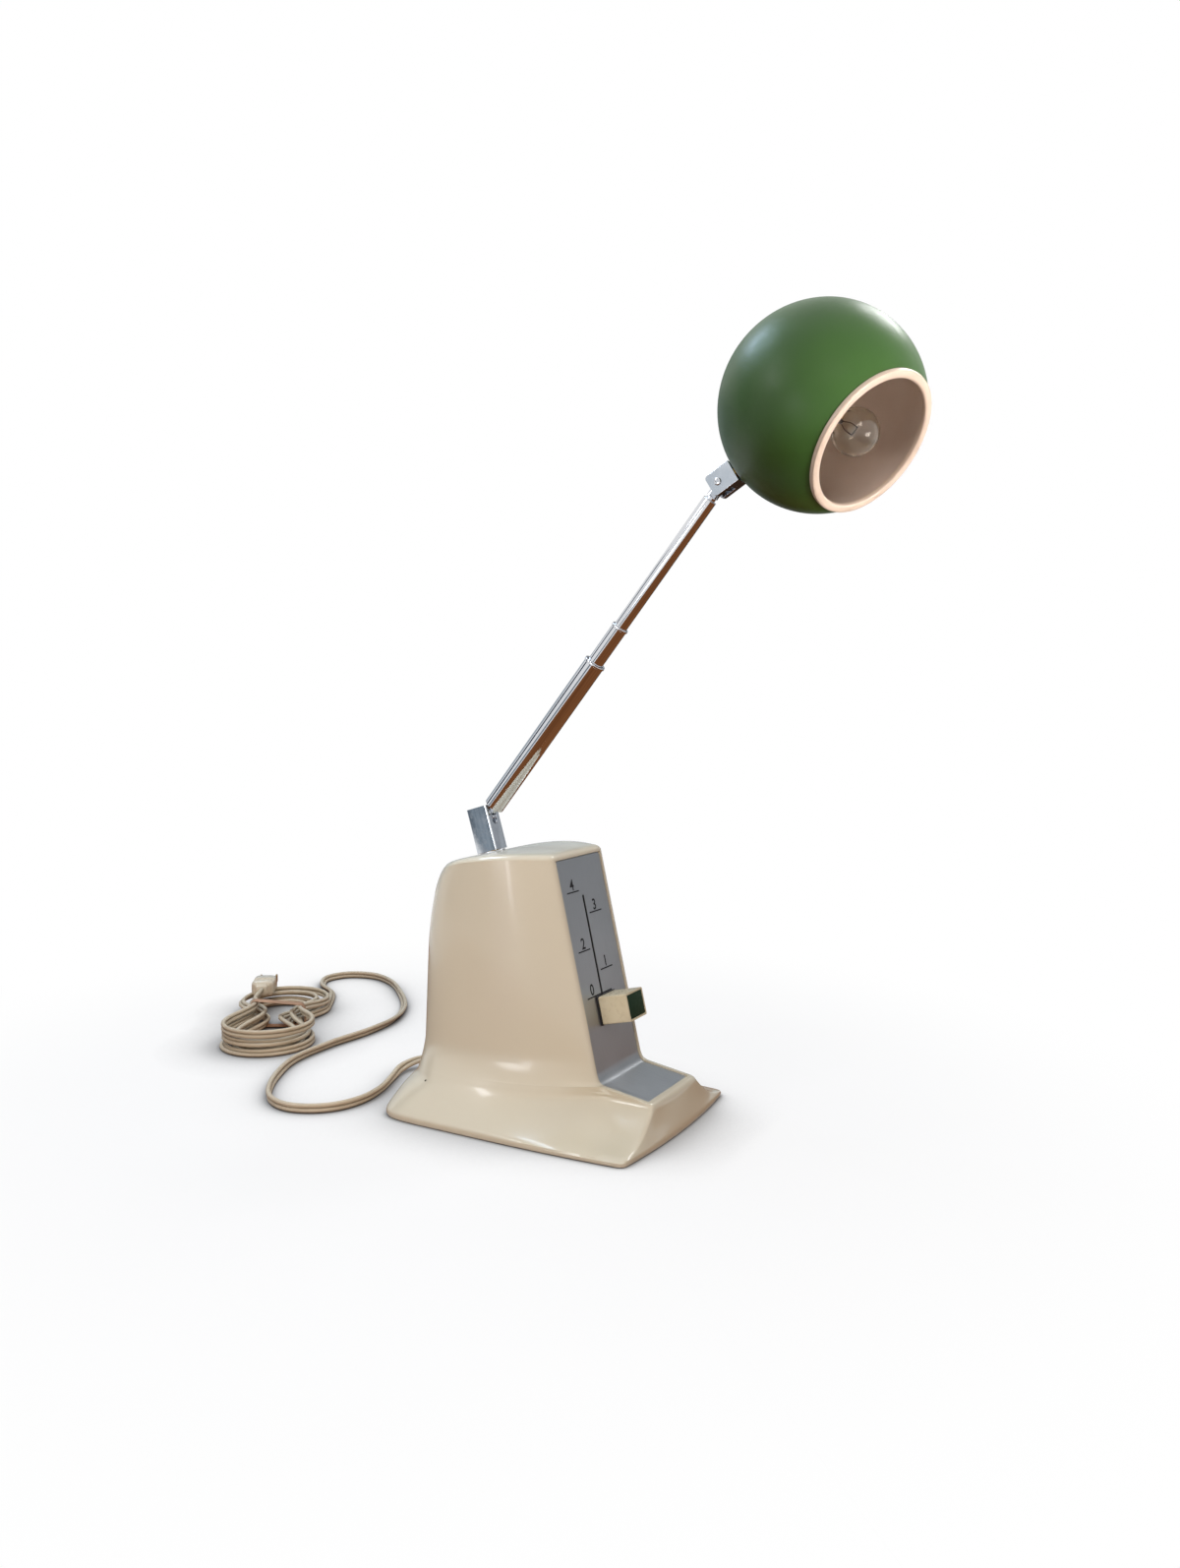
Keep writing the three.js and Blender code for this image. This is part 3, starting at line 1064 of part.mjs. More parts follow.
add(shadeFrame, 'bulb_filament', joined(
  round(STEM_GLASS_RADIUS, glassStart, stemTop, SMALL_SIDES),
  ...[-1, 1].map((side) =>
    round(FILAMENT_WIRE, glassStart + GAP, GLOBE_HEIGHT, WIRE_SIDES, side * FILAMENT_SPREAD)),
  crossBar(FILAMENT_COIL, FILAMENT_SPREAD, 0, GLOBE_HEIGHT - FILAMENT_COIL, COIL_SIDES),
), STEEL);

// Strain relief and the leads inside

const collarBack = backAtCord - RELIEF_SETBACK;
const collarFront = collarBack - RELIEF_COLLAR_LENGTH;
const reliefStart = backAtCord - RELIEF_INSIDE;
add(lamp, 'strain_relief', alongY(turned([
  [0, reliefStart], [RELIEF_RADIUS, reliefStart],
  [RELIEF_RADIUS, collarFront], [RELIEF_COLLAR, collarFront],
  [RELIEF_COLLAR, collarBack], [RELIEF_RADIUS, collarBack],
  [RELIEF_RADIUS, backAtCord + PAST], [RELIEF_TIP_RADIUS, reliefExit], [0, reliefExit],
], 16), CORD_X, CORD_Z), CORD_TAN);
const boardBack = BOARD_Y + BOARD_DEPTH / 2 + GAP;
const besideStrap = strapOuter + LEAD_RADIUS + MAINS_CLEAR;
const mainsHeight = boardBottom + BOARD_THICKNESS / 2;
add(lamp, 'mains_lead', tube([
  [CORD_X, reliefStart - GAP, CORD_Z],
  ...MAINS_AT_RELIEF.map(([x, inward, z]) => [CORD_X + x, reliefStart - inward, CORD_Z + z]),
  ...MAINS_AT_CORE.map(([x, y, z]) => [besideStrap + x, CORE_Y + y, mainsHeight + z]),
  ...MAINS_AT_BOARD.map(([x, behind, z]) => [CORD_X + x, boardBack + behind, mainsHeight + z]),
  [CORD_X, boardBack, mainsHeight],
], LEAD_RADIUS, LEAD_SIDES, WIRE_STEPS), BLACK);
const windingBack = CORE_Y + CORE_STACK / 2 + WINDING_OUT + GAP;
const inStud = [studBottom - LEAD_IN_STUD, studBottom, studBottom + LEAD_IN_STUD]
  .map((z) => pointOn(bracketFrame, z).toArray());
const wireBends = WIRE_BENDS.map(([share, behind]) =>
  [0, windingBack + behind, between(coreMiddle, inStud[0][2], share)]);
add(lamp, 'lamp_lead', tube([
  [0, windingBack, coreMiddle], [0, windingBack + 2 * WIRE_RADIUS, coreMiddle],
  [0, windingBack + 4 * WIRE_RADIUS, coreMiddle + 3 * WIRE_RADIUS], ...wireBends, ...inStud,
], WIRE_RADIUS, WIRE_SIDES, WIRE_STEPS), BLACK);

// Cord: its hank lies on the desk, in three layers drawn in at the waist

const hankFrame = new THREE.Group();
hankFrame.position.set(HANK_MIDDLE[0], reliefExit + HANK_MIDDLE[1], 0);
hankFrame.rotation.z = rad(HANK_TURN);
lamp.add(hankFrame);
lamp.updateMatrixWorld(true);

const floorHeight = CORD_RADIUS + FLOOR_CLEAR;
const tieRoom = TIE_THICKNESS + 2 * GAP;
const drawIn = HANK_FOLD - WAIST_CLEAR;
const climb = (turns, start) => THREE.MathUtils.smoothstep(turns, start, start + 0.25);
const waist = (u) => Math.cos(Math.PI * THREE.MathUtils.clamp(u / HANK_RUN, -0.5, 0.5)) ** 2;

// The hank's line after so many steps. A turn is a run, a fold, the run back and a fold, a quarter each.
function hankPoint(step) {
  const turns = step / HANK_STEPS;
  const quarter = Math.floor(4 * step / HANK_STEPS) % 4;
  const share = 4 * step / HANK_STEPS - Math.floor(4 * step / HANK_STEPS);
  const inward = Math.abs(((turns + LAYER_TURNS) % (2 * LAYER_TURNS)) - LAYER_TURNS);
  const radius = HANK_FOLD + HANK_PITCH * Math.abs(LAYER_TURNS - inward);
  const side = quarter < 2 ? -1 : 1;
  const onRun = quarter % 2 === 0;
  const u = side * (onRun ? (share - 0.5) * HANK_RUN : HANK_RUN / 2 + radius * Math.sin(Math.PI * share));
  const v = side * (onRun ? radius - drawIn * waist(u) : radius * Math.cos(Math.PI * share));
  const layer = climb(turns, LAYER_TURNS) + climb(turns, 2 * LAYER_TURNS);
  return [u, v, floorHeight + HANK_LAYER * layer + tieRoom * waist(u)];
}

const hankTurns = Array.from({ length: HANK_COUNT + 1 }, (_, i) => hankPoint(i));
const plugZ = floorHeight + HANK_LAYER + CORD_RADIUS + GAP + PLUG_HEIGHT / 2;
const [before, last] = hankTurns.slice(-2).map((p) => new THREE.Vector3(...p));
const tailEnd = new THREE.Vector3(last.x + TAIL_RUN, last.y + TAIL_SHIFT, plugZ);
const tail = new THREE.CubicBezierCurve3(
  last, last.clone().addScaledVector(last.clone().sub(before).normalize(), TAIL_RUN / 3),
  tailEnd.clone().setX(tailEnd.x - TAIL_RUN / 3), tailEnd);
const hankLine = [
  [hankTurns[0][0] + 2 * CORD_RADIUS, hankTurns[0][1], hankTurns[0][2]],
  ...hankTurns,
  ...tail.getPoints(5).slice(1).map((p) => p.toArray()),
  [tailEnd.x + 2 * CORD_RADIUS, tailEnd.y, tailEnd.z],
];

// A tube with a ring of corners at each point of its line.
function sweep(points, radius, sides, spin = 0) {
  const line = points.map((p) => new THREE.Vector3(...p));
  return skin(line.map((p, i) => {
    const ahead = line[Math.min(line.length - 1, i + 1)];
    const along = ahead.clone().sub(line[Math.max(0, i - 1)]).normalize();
    const flat = new THREE.Vector3(-along.y, along.x, 0).normalize();
    const up = along.clone().cross(flat);
    return Array.from({ length: sides }, (_, k) => {
      const angle = 2 * Math.PI * k / sides + spin;
      const corner = p.clone().addScaledVector(flat, -radius * Math.cos(angle));
      return corner.addScaledVector(up, -radius * Math.sin(angle)).toArray();
    });
  }));
}

// The least room between stretches of a tube that aren't neighbours along it.
function leastGap(points, radius) {
  const line = new THREE.CurvePath();
  points.slice(1).forEach((p, i) => line.add(new THREE.LineCurve3(
    new THREE.Vector3(...points[i]), new THREE.Vector3(...p))));
  const samples = line.getSpacedPoints(900);
  const skip = Math.ceil(8 * radius / (line.getLength() / 900));
  let least = Infinity;
  for (let i = 0; i < samples.length; i += 1) {
    for (let j = i + skip; j < samples.length; j += 1) {
      least = Math.min(least, samples[i].distanceTo(samples[j]) - 2 * radius);
    }
  }
  return [least, line.getLength()];
}
const [hankGap, hankLength] = leastGap(hankLine, CORD_RADIUS);
console.log(`cord_hank: least gap to itself ${hankGap.toFixed(2)} mm, length ${hankLength.toFixed(0)} mm`);
add(hankFrame, 'cord_hank', sweep(hankLine, CORD_RADIUS, HANK_SIDES), CORD_TAN);

// The free stretch, from the strain relief to the hank, by points on the desk

const intoHank = (distance) => hankFrame.localToWorld(
  new THREE.Vector3(hankLine[0][0] + distance, hankLine[0][1], floorHeight)).toArray();
const straight = GAP + 2 * CORD_RADIUS;
const leadPath = curve([
  [CORD_X, reliefExit + straight, CORD_Z],
  ...LEAD_DROP.map(([x, behind, z]) => [x, reliefExit + behind, z]),
  ...LEAD_ON_DESK.map(([x, behind]) => [x, reliefExit + behind, floorHeight]),
  intoHank(LEAD_TURN_IN), intoHank(straight),
]);
const leadLine = [
  [CORD_X, reliefExit + GAP, CORD_Z],
  ...leadPath.getSpacedPoints(LEAD_STEPS).map((p) => p.toArray()),
  intoHank(GAP),
];
console.log(`cord_lead: length ${(leadPath.getLength() + 4 * CORD_RADIUS).toFixed(0)} mm`);
add(lamp, 'cord_lead', sweep(leadLine, CORD_RADIUS, LEAD_SIDES, Math.PI / LEAD_SIDES), CORD_TAN);

// The rubber band round the waist: the line drawn tight round every strand that passes through it

function tightLine(spare) {
  const points = [];
  const radius = CORD_RADIUS + spare;
  const share = TIE_WIDTH / 2 / HANK_RUN * HANK_STEPS / 4;
  for (let middle = HANK_STEPS / 8; middle < HANK_COUNT; middle += HANK_STEPS / 2) {
    for (const side of [-1, 0, 1]) {
      const strand = hankPoint(middle);
      const next = hankPoint(middle + side);
      const [v, z] = [1, 2].map((axis) => between(strand[axis], next[axis], share));
      for (let k = 0; k < TIE_SIDES; k += 1) {
        const angle = 2 * Math.PI * k / TIE_SIDES;
        points.push([v + radius * Math.cos(angle), z + radius * Math.sin(angle)]);
      }
    }
  }
  points.sort((a, b) => a[0] - b[0] || a[1] - b[1]);
  const leftTurn = (a, b, c) => (b[0] - a[0]) * (c[1] - a[1]) - (b[1] - a[1]) * (c[0] - a[0]) > 1e-6;
  const chain = (ordered) => ordered.reduce((kept, p) => {
    while (kept.length > 1 && !leftTurn(kept[kept.length - 2], kept[kept.length - 1], p)) kept.pop();
    kept.push(p);
    return kept;
  }, []).slice(0, -1);
  return [...chain(points), ...chain([...points].reverse())];
}
const band = crossPlate(tightLine(GAP + TIE_THICKNESS), TIE_WIDTH);
const bandInside = crossPlate(tightLine(GAP), TIE_WIDTH + 2 * PAST);
add(hankFrame, 'cord_tie', cut(band, bandInside), BAND_TAN);

// Plug

const plugFrame = new THREE.Group();
plugFrame.position.set(tailEnd.x + 2 * CORD_RADIUS + GAP, tailEnd.y, tailEnd.z);
plugFrame.rotation.y = Math.PI / 2;
hankFrame.add(plugFrame);
add(plugFrame, 'plug_body', cut(
  joined(
    roundedBlock(PLUG_HEIGHT - PLUG_CORNER, PLUG_WIDTH - 2 * PLUG_CORNER, 0, PLUG_NECK + PAST, PLUG_CORNER),
    roundedBlock(PLUG_HEIGHT, PLUG_WIDTH, PLUG_NECK, PLUG_LENGTH, PLUG_CORNER),
  ),
  ...[-1, 1].map((side) => box(BLADE_WIDTH + 2 * GAP, BLADE_THICKNESS + 2 * GAP, 2 * BLADE_IN,
    0, side * BLADE_SPREAD, PLUG_LENGTH)),
), CREAM);
[-1, 1].forEach((side, index) => {
  const length = BLADE_LENGTH + BLADE_IN - GAP;
  add(plugFrame, `plug_blade_${index + 1}`, box(BLADE_WIDTH, BLADE_THICKNESS, length,
    0, side * BLADE_SPREAD, PLUG_LENGTH + BLADE_LENGTH - length / 2), BRASS);
});

export default lamp;
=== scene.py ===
import bpy
import bmesh
import math
from mathutils import Matrix, Vector, geometry, noise


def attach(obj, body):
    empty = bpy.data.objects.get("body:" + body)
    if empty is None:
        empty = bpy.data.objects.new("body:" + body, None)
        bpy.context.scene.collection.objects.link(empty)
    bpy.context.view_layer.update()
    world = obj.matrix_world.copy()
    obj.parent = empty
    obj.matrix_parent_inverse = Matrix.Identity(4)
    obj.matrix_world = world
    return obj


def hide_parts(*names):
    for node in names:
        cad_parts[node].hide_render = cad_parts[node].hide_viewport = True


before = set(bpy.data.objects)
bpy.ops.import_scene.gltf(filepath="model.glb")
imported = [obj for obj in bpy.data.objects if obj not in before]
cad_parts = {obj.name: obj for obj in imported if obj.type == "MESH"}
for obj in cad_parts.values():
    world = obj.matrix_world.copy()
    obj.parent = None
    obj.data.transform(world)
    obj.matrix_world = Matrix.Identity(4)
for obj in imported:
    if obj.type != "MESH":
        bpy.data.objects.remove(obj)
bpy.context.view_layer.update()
print("stage: frame loaded")

millimetre = 0.001  # sizes are in millimetres, the scene in metres
toMetres = Matrix.Scale(millimetre, 4)
fullTurn = 2 * math.pi
clearance = 0.3  # left between pieces that lie against each other
merging = 2e-4  # points nearer than this become one


def between(low, high, share):
    return low + (high - low) * share


def smoothStep(value, low, high):
    share = max(0.0, min(1.0, (value - low) / (high - low)))
    return share * share * (3 - 2 * share)


# A curve from first to last that leans towards the corner.
def bendPoint(share, first, corner, last):
    return first * (1 - share) ** 2 + corner * 2 * share * (1 - share) + last * share ** 2


def linked(name, data):
    thing = bpy.data.objects.new(name, data)
    bpy.context.scene.collection.objects.link(thing)
    return thing


def meshOf(bm, name):
    mesh = bpy.data.meshes.new(name)
    bm.to_mesh(mesh)
    bm.free()
    return mesh


# camera, where the photograph was taken from

camera = {
    "eye": Vector((-643.3, -376.9, 265.5)),
    "forward": Vector((0.87306, 0.48119, -0.07896)),
    "up": Vector((0.06515, 0.04537, 0.99684)),
    "lens": 27.34, "sensor": 36, "clip": (0.01, 60),
}


def addCamera():
    data = bpy.data.cameras.new("photoCamera")
    data.lens, data.sensor_width = camera["lens"], camera["sensor"]
    data.clip_start, data.clip_end = camera["clip"]
    back = -camera["forward"].normalized()
    right = camera["up"].cross(back).normalized()
    turn = Matrix((right, back.cross(right), back)).transposed().to_4x4()
    thing = linked("photoCamera", data)
    thing.matrix_world = Matrix.Translation(camera["eye"] * millimetre) @ turn
    bpy.context.scene.camera = thing


addCamera()


# small helpers for shader trees

def colourOf(code):
    parts = [int(code[i:i + 2], 16) / 255 for i in (1, 3, 5)]
    return [p / 12.92 if p <= 0.04045 else ((p + 0.055) / 1.055) ** 2.4 for p in parts] + [1.0]


def feed(tree, value, socket):
    if isinstance(value, bpy.types.NodeSocket):
        tree.links.new(value, socket)
    else:
        socket.default_value = value


def feedAll(tree, node, **values):
    for key, value in values.items():
        feed(tree, value, node.inputs[key.replace("_", " ")])


# A node with its settings and its inputs, each a value or another node's output.
def addNode(tree, kind, **values):
    node = tree.nodes.new(kind)
    for key, value in values.items():
        if hasattr(node, key):
            setattr(node, key, value)
        else:
            feed(tree, value, node.inputs[key])
    return node


def ranged(tree, source, fromLow, fromHigh, toLow=0.0, toHigh=1.0):
    node = addNode(tree, "ShaderNodeMapRange", interpolation_type="SMOOTHSTEP")
    for socket, value in zip(node.inputs, (source, fromLow, fromHigh, toLow, toHigh)):
        feed(tree, value, socket)
    return node.outputs[0]


def worked(tree, operation, first, second):
    node = addNode(tree, "ShaderNodeMath", operation=operation)
    feed(tree, first, node.inputs[0])
    feed(tree, second, node.inputs[1])
    return node.outputs[0]


def blended(tree, share, first, second):
    node = addNode(tree, "ShaderNodeMix", data_type="RGBA", Factor=share)
    feed(tree, first, node.inputs[6])
    feed(tree, second, node.inputs[7])
    return node.outputs[2]


def joinedShaders(tree, share, first, second, end):
    join = addNode(tree, "ShaderNodeMixShader")
    for value, socket in zip((share, first.outputs[0], second.outputs[0]), join.inputs):
        feed(tree, value, socket)
    tree.links.new(join.outputs[0], tree.nodes[end].inputs["Surface"])


# A new material, its tree and shader, and the object's own coordinates.
def newLook(name):
    look = bpy.data.materials.new(name)
    look.use_nodes = True
    tree = look.node_tree
    place = addNode(tree, "ShaderNodeTexCoord").outputs["Object"]
    return look, tree, tree.nodes["Principled BSDF"], place


# node groups that several finishes share

# A node group that makes a mask from coordinates and some numbers.
def newGroup(name, **numbers):
    group = bpy.data.node_groups.new(name, "ShaderNodeTree")
    group.interface.new_socket("Coordinates", in_out="INPUT", socket_type="NodeSocketVector")
    for label, value in numbers.items():
        socket = group.interface.new_socket(label, in_out="INPUT", socket_type="NodeSocketFloat")
        socket.default_value = value
    group.interface.new_socket("Mask", in_out="OUTPUT", socket_type="NodeSocketFloat")
    given, result = group.nodes.new("NodeGroupInput"), group.nodes.new("NodeGroupOutput")
    return group, given.outputs, result.inputs["Mask"]


def makeMottle():
    group, given, mask = newGroup("mottle", Size=20.0, Detail=5.0)
    cloud = addNode(group, "ShaderNodeTexNoise", Roughness=0.6, Vector=given["Coordinates"],
                    Scale=given["Size"], Detail=given["Detail"])
    group.links.new(ranged(group, cloud.outputs[0], 0.25, 0.75), mask)
    return group


def makeSpecks():
    group, given, mask = newGroup("specks", Size=90.0, Radius=0.1, Share=0.05)
    cells = addNode(group, "ShaderNodeTexVoronoi", Vector=given["Coordinates"], Scale=given["Size"])
    pick = addNode(group, "ShaderNodeTexWhiteNoise", noise_dimensions="3D", Vector=cells.outputs["Position"])
    near = worked(group, "LESS_THAN", cells.outputs["Distance"], given["Radius"])
    chosen = worked(group, "LESS_THAN", pick.outputs["Value"], given["Share"])
    group.links.new(worked(group, "MULTIPLY", near, chosen), mask)
    return group


def makeHairlines():
    group, given, mask = newGroup("hairlines", Size=60.0, Width=0.012)
    warp = addNode(group, "ShaderNodeTexNoise", Scale=9.0, Detail=2.0, Vector=given["Coordinates"])
    shift = addNode(group, "ShaderNodeVectorMath", operation="MULTIPLY_ADD")
    for value, socket in zip((warp.outputs["Color"], (0.02, 0.02, 0.02), given["Coordinates"]), shift.inputs):
        feed(group, value, socket)
    lines = addNode(group, "ShaderNodeTexVoronoi", feature="DISTANCE_TO_EDGE", Vector=shift.outputs[0],
                    Scale=given["Size"])
    group.links.new(ranged(group, lines.outputs["Distance"], 0.0, given["Width"], 1.0, 0.0), mask)
    return group


mottle = makeMottle()
specks = makeSpecks()
hairlines = makeHairlines()


def placedGroup(tree, group, place, **values):
    node = addNode(tree, "ShaderNodeGroup", node_tree=group, Coordinates=place, **values)
    return node.outputs["Mask"]


finish = {
    "broadDetail": 3.0, "fineTimes": 7, "fineDetail": 6.0, "lineRoughness": 0.25, "grainDetail": 3.0,
    "grainDepth": 0.0004, "bandCloud": 30.0, "bandRoughness": 0.12, "bandWarp": 0.6, "bandShade": 0.6,
    "bandStrength": 0.6, "bandDepth": 0.0003,
}


# Metal, paint, plastic or rubber: two near colours in clouds, wear lines, specks, a fine grain and painted
# shade in crevices. Lines are (size, width, tint, amount), spots (size, radius, share, tint) and
# paintedCreviceShade (reach, tint), which darkens the colour towards the tint where the surface is hemmed in.
def makeFinish(name, light, dark, metallic=0.0, roughness=(0.25, 0.35), cloud=12.0, coat=0.0,
               coatRoughness=0.1, grain=(900.0, 0.05), stretch=(1, 1, 1), lines=None, spots=None,
               specular=0.5, turn=0.0, paintedCreviceShade=None):
    look, tree, shader, place = newLook(name)
    drawn = addNode(tree, "ShaderNodeMapping", vector_type="TEXTURE", Vector=place,
                    Rotation=(math.radians(turn), 0, 0), Scale=[1 / times for times in stretch]).outputs[0]
    broad = placedGroup(tree, mottle, place, Size=cloud, Detail=finish["broadDetail"])
    fine = placedGroup(tree, mottle, drawn, Size=cloud * finish["fineTimes"], Detail=finish["fineDetail"])
    colour = blended(tree, broad, colourOf(light), colourOf(dark))
    rough = ranged(tree, fine, 0.0, 1.0, *roughness)
    if lines:
        size, width, tint, amount = lines
        mask = worked(tree, "MULTIPLY", placedGroup(tree, hairlines, drawn, Size=size, Width=width), amount)
        colour = blended(tree, mask, colour, colourOf(tint))
        rough = worked(tree, "ADD", rough, worked(tree, "MULTIPLY", mask, finish["lineRoughness"]))
    if spots:
        size, radius, share, tint = spots
        mask = placedGroup(tree, specks, place, Size=size, Radius=radius, Share=share)
        colour = blended(tree, mask, colour, colourOf(tint))
    # painted shade: ambient occlusion darkens the colour towards the tint in crevices and between parts
    if paintedCreviceShade:
        reach, tint = paintedCreviceShade
        openness = addNode(tree, "ShaderNodeAmbientOcclusion", Distance=reach).outputs["AO"]
        colour = blended(tree, openness, colourOf(tint), colour)
    height = addNode(tree, "ShaderNodeTexNoise", Scale=grain[0], Detail=finish["grainDetail"], Vector=drawn)
    bump = addNode(tree, "ShaderNodeBump", Strength=grain[1], Distance=finish["grainDepth"],
                   Height=height.outputs[0])
    feedAll(tree, shader, Metallic=metallic, Coat_Weight=coat, Coat_Roughness=coatRoughness,
            Specular_IOR_Level=specular, Base_Color=colour, Roughness=rough, Normal=bump.outputs[0])
    return look


# A finish crossed by even bands, as on sheet stacked or wire wound along one axis.
def makeBanded(name, light, dark, axis, pitch, metallic, roughness):
    look = makeFinish(name, light, dark, metallic, (roughness, roughness + finish["bandRoughness"]),
                      finish["bandCloud"])
    tree = look.node_tree
    shader = tree.nodes["Principled BSDF"]
    place = addNode(tree, "ShaderNodeTexCoord").outputs["Object"]
    bands = addNode(tree, "ShaderNodeTexWave", bands_direction=axis, Vector=place, Detail=1.0,
                    Scale=math.pi / 10 / pitch * 1000, Distortion=finish["bandWarp"])
    feedAll(tree, bands, Detail_Scale=6.0)
    bands = bands.outputs["Fac"]
    before = shader.inputs["Base Color"].links[0].from_socket
    shade = worked(tree, "MULTIPLY", ranged(tree, bands, 0.0, 0.5, 1.0, 0.0), finish["bandShade"])
    bump = addNode(tree, "ShaderNodeBump", Strength=finish["bandStrength"], Distance=finish["bandDepth"],
                   Height=bands)
    feedAll(tree, shader, Base_Color=blended(tree, shade, before, colourOf(dark)), Normal=bump.outputs[0])
    return look


def makeClearGlass():
    look, tree, shader, place = newLook("clearGlass")
    film = placedGroup(tree, mottle, place, Size=45.0, Detail=4.0)
    feedAll(tree, shader, Base_Color=colourOf("#f4f4ee"), Transmission_Weight=1.0, IOR=1.46,
            Roughness=ranged(tree, film, 0.0, 1.0, 0.0, 0.06))
    return look


cream = makeFinish("creamPlastic", "#d7cfb9", "#d1c9b2", roughness=(0.2, 0.26), cloud=4.0, coat=0.4,
                   coatRoughness=0.05, grain=(500.0, 0.03), spots=(60.0, 0.045, 0.05, "#4d4335"))
knobCream = makeFinish("knobCream", "#d8cfb2", "#cbbf9e", roughness=(0.25, 0.36), cloud=40.0, coat=0.2,
                       grain=(900.0, 0.04))
brushed = makeFinish("brushedAluminium", "#abaeb1", "#9fa2a5", 0.9, (0.3, 0.42), 14.0,
                     grain=(260.0, 0.14), stretch=(12.0, 1.0, 1.0))
chrome = makeFinish("chrome", "#d9dbdf", "#c6c9cf", 1.0, (0.045, 0.11), 18.0, grain=(300.0, 0.01),
                    lines=(90.0, 0.008, "#a3a6ab", 0.2))
tubeChrome = makeFinish("tubeChrome", "#dcdde0", "#cfd1d5", 1.0, (0.04, 0.08), 14.0, grain=(50.0, 0.006),
                        stretch=(1.0, 1.0, 0.1), turn=90 - 51.3)
bracketChrome = makeFinish("bracketChrome", "#dde0e4", "#c3c9d0", 1.0, (0.06, 0.14), 35.0,
                           grain=(60.0, 0.025), lines=(120.0, 0.012, "#9da3ab", 0.25))
shadeGreen = makeFinish("satinGreenPaint", "#335523", "#2d4d20", roughness=(0.36, 0.44), cloud=9.0,
                        grain=(1500.0, 0.08), spots=(70.0, 0.03, 0.03, "#86a06a"), specular=0.36)
insetGreen = makeFinish("darkGreenInset", "#1c3321", "#162b1b", roughness=(0.45, 0.6), cloud=60.0,
                        grain=(1400.0, 0.1), specular=0.15)
linerCream = makeFinish("linerPaint", "#d8cdc3", "#cdc1b6", roughness=(0.42, 0.56), cloud=16.0,
                        grain=(1200.0, 0.12), spots=(80.0, 0.04, 0.04, "#9c8b70"))
rimCream = makeFinish("rimCream", "#c8baa9", "#bcae9d", roughness=(0.32, 0.44), cloud=25.0, coat=0.1,
                      grain=(900.0, 0.08), spots=(120.0, 0.05, 0.04, "#8f7c61"))
blackPlastic = makeFinish("blackPlastic", "#1d1d1e", "#151516", roughness=(0.45, 0.6), cloud=60.0,
                          grain=(1200.0, 0.15))
printBlack = makeFinish("printedBlack", "#232325", "#1b1b1d", roughness=(0.5, 0.6), cloud=90.0, specular=0.2)
padRubber = makeFinish("padRubber", "#2a2927", "#1f1e1d", roughness=(0.75, 0.9), cloud=20.0,
                       grain=(500.0, 0.5), spots=(160.0, 0.1, 0.12, "#4a4742"))
zinc = makeFinish("zincSteel", "#b3b3ab", "#98978c", 1.0, (0.3, 0.5), 30.0, grain=(700.0, 0.1),
                  lines=(80.0, 0.02, "#6f6d63", 0.4))
brass = makeFinish("brass", "#c9a455", "#ab8440", 1.0, (0.24, 0.42), 35.0, grain=(600.0, 0.08),
                   lines=(90.0, 0.02, "#7b5f2c", 0.4))
phenolic = makeFinish("phenolicBoard", "#8a5a2c", "#774b23", roughness=(0.45, 0.6), cloud=25.0,
                      grain=(400.0, 0.3), stretch=(1, 6, 1), spots=(220.0, 0.12, 0.2, "#5f3b1b"))
porcelain = makeFinish("porcelain", "#e6e0d2", "#d9d1c0", roughness=(0.2, 0.35), cloud=30.0, coat=0.3,
                       grain=(600.0, 0.06))
filmBrown = makeFinish("filmCapacitor", "#a85a2a", "#94491f", roughness=(0.28, 0.4), cloud=40.0, coat=0.3,
                       grain=(500.0, 0.1))
coreSteel = makeBanded("laminatedSteel", "#6f6d69", "#35332f", "Y", 1.0, 0.9, 0.45)
copperWire = makeBanded("copperWinding", "#b3622f", "#6d3417", "Z", 0.9, 0.9, 0.28)
chokeWire = makeBanded("chokeWinding", "#b76a35", "#713a1b", "X", 0.8, 0.9, 0.28)
blackLead = makeFinish("blackLead", "#232324", "#1a1a1b", roughness=(0.4, 0.55), cloud=50.0,
                       grain=(800.0, 0.1))
# painted shade in the groove between the cord's two strands
cordVinyl = makeFinish("cordVinyl", "#d0c3ab", "#c0b197", roughness=(0.42, 0.56), cloud=26.0,
                       grain=(900.0, 0.14), spots=(150.0, 0.08, 0.08, "#7d6a50"), paintedCreviceShade=(0.004, "#4a3a28"))
bandRubber = makeFinish("bandRubber", "#b08a6c", "#9a7559", roughness=(0.5, 0.65), cloud=70.0,
                        grain=(900.0, 0.25))
plugCream = makeFinish("plugCream", "#d9ceb8", "#cec2aa", roughness=(0.18, 0.3), cloud=35.0, coat=0.4,
                       grain=(700.0, 0.05))
clearGlass = makeClearGlass()
wire = makeFinish("filamentWire", "#5a5450", "#3c3835", 0.8, (0.35, 0.5), 90.0)
print("stage: finishes made")


# helpers for shapes

def at(x, y, z):
    return Matrix.Translation((x, y, z))


def shifted(bm, matrix):
    bmesh.ops.transform(bm, matrix=matrix, verts=bm.verts)
    return bm


# Points round an ellipse.
def ellipse(wide, tall, count):
    return [(wide * math.cos(a), tall * math.sin(a)) for a in [fullTurn * k / count for k in range(count)]]
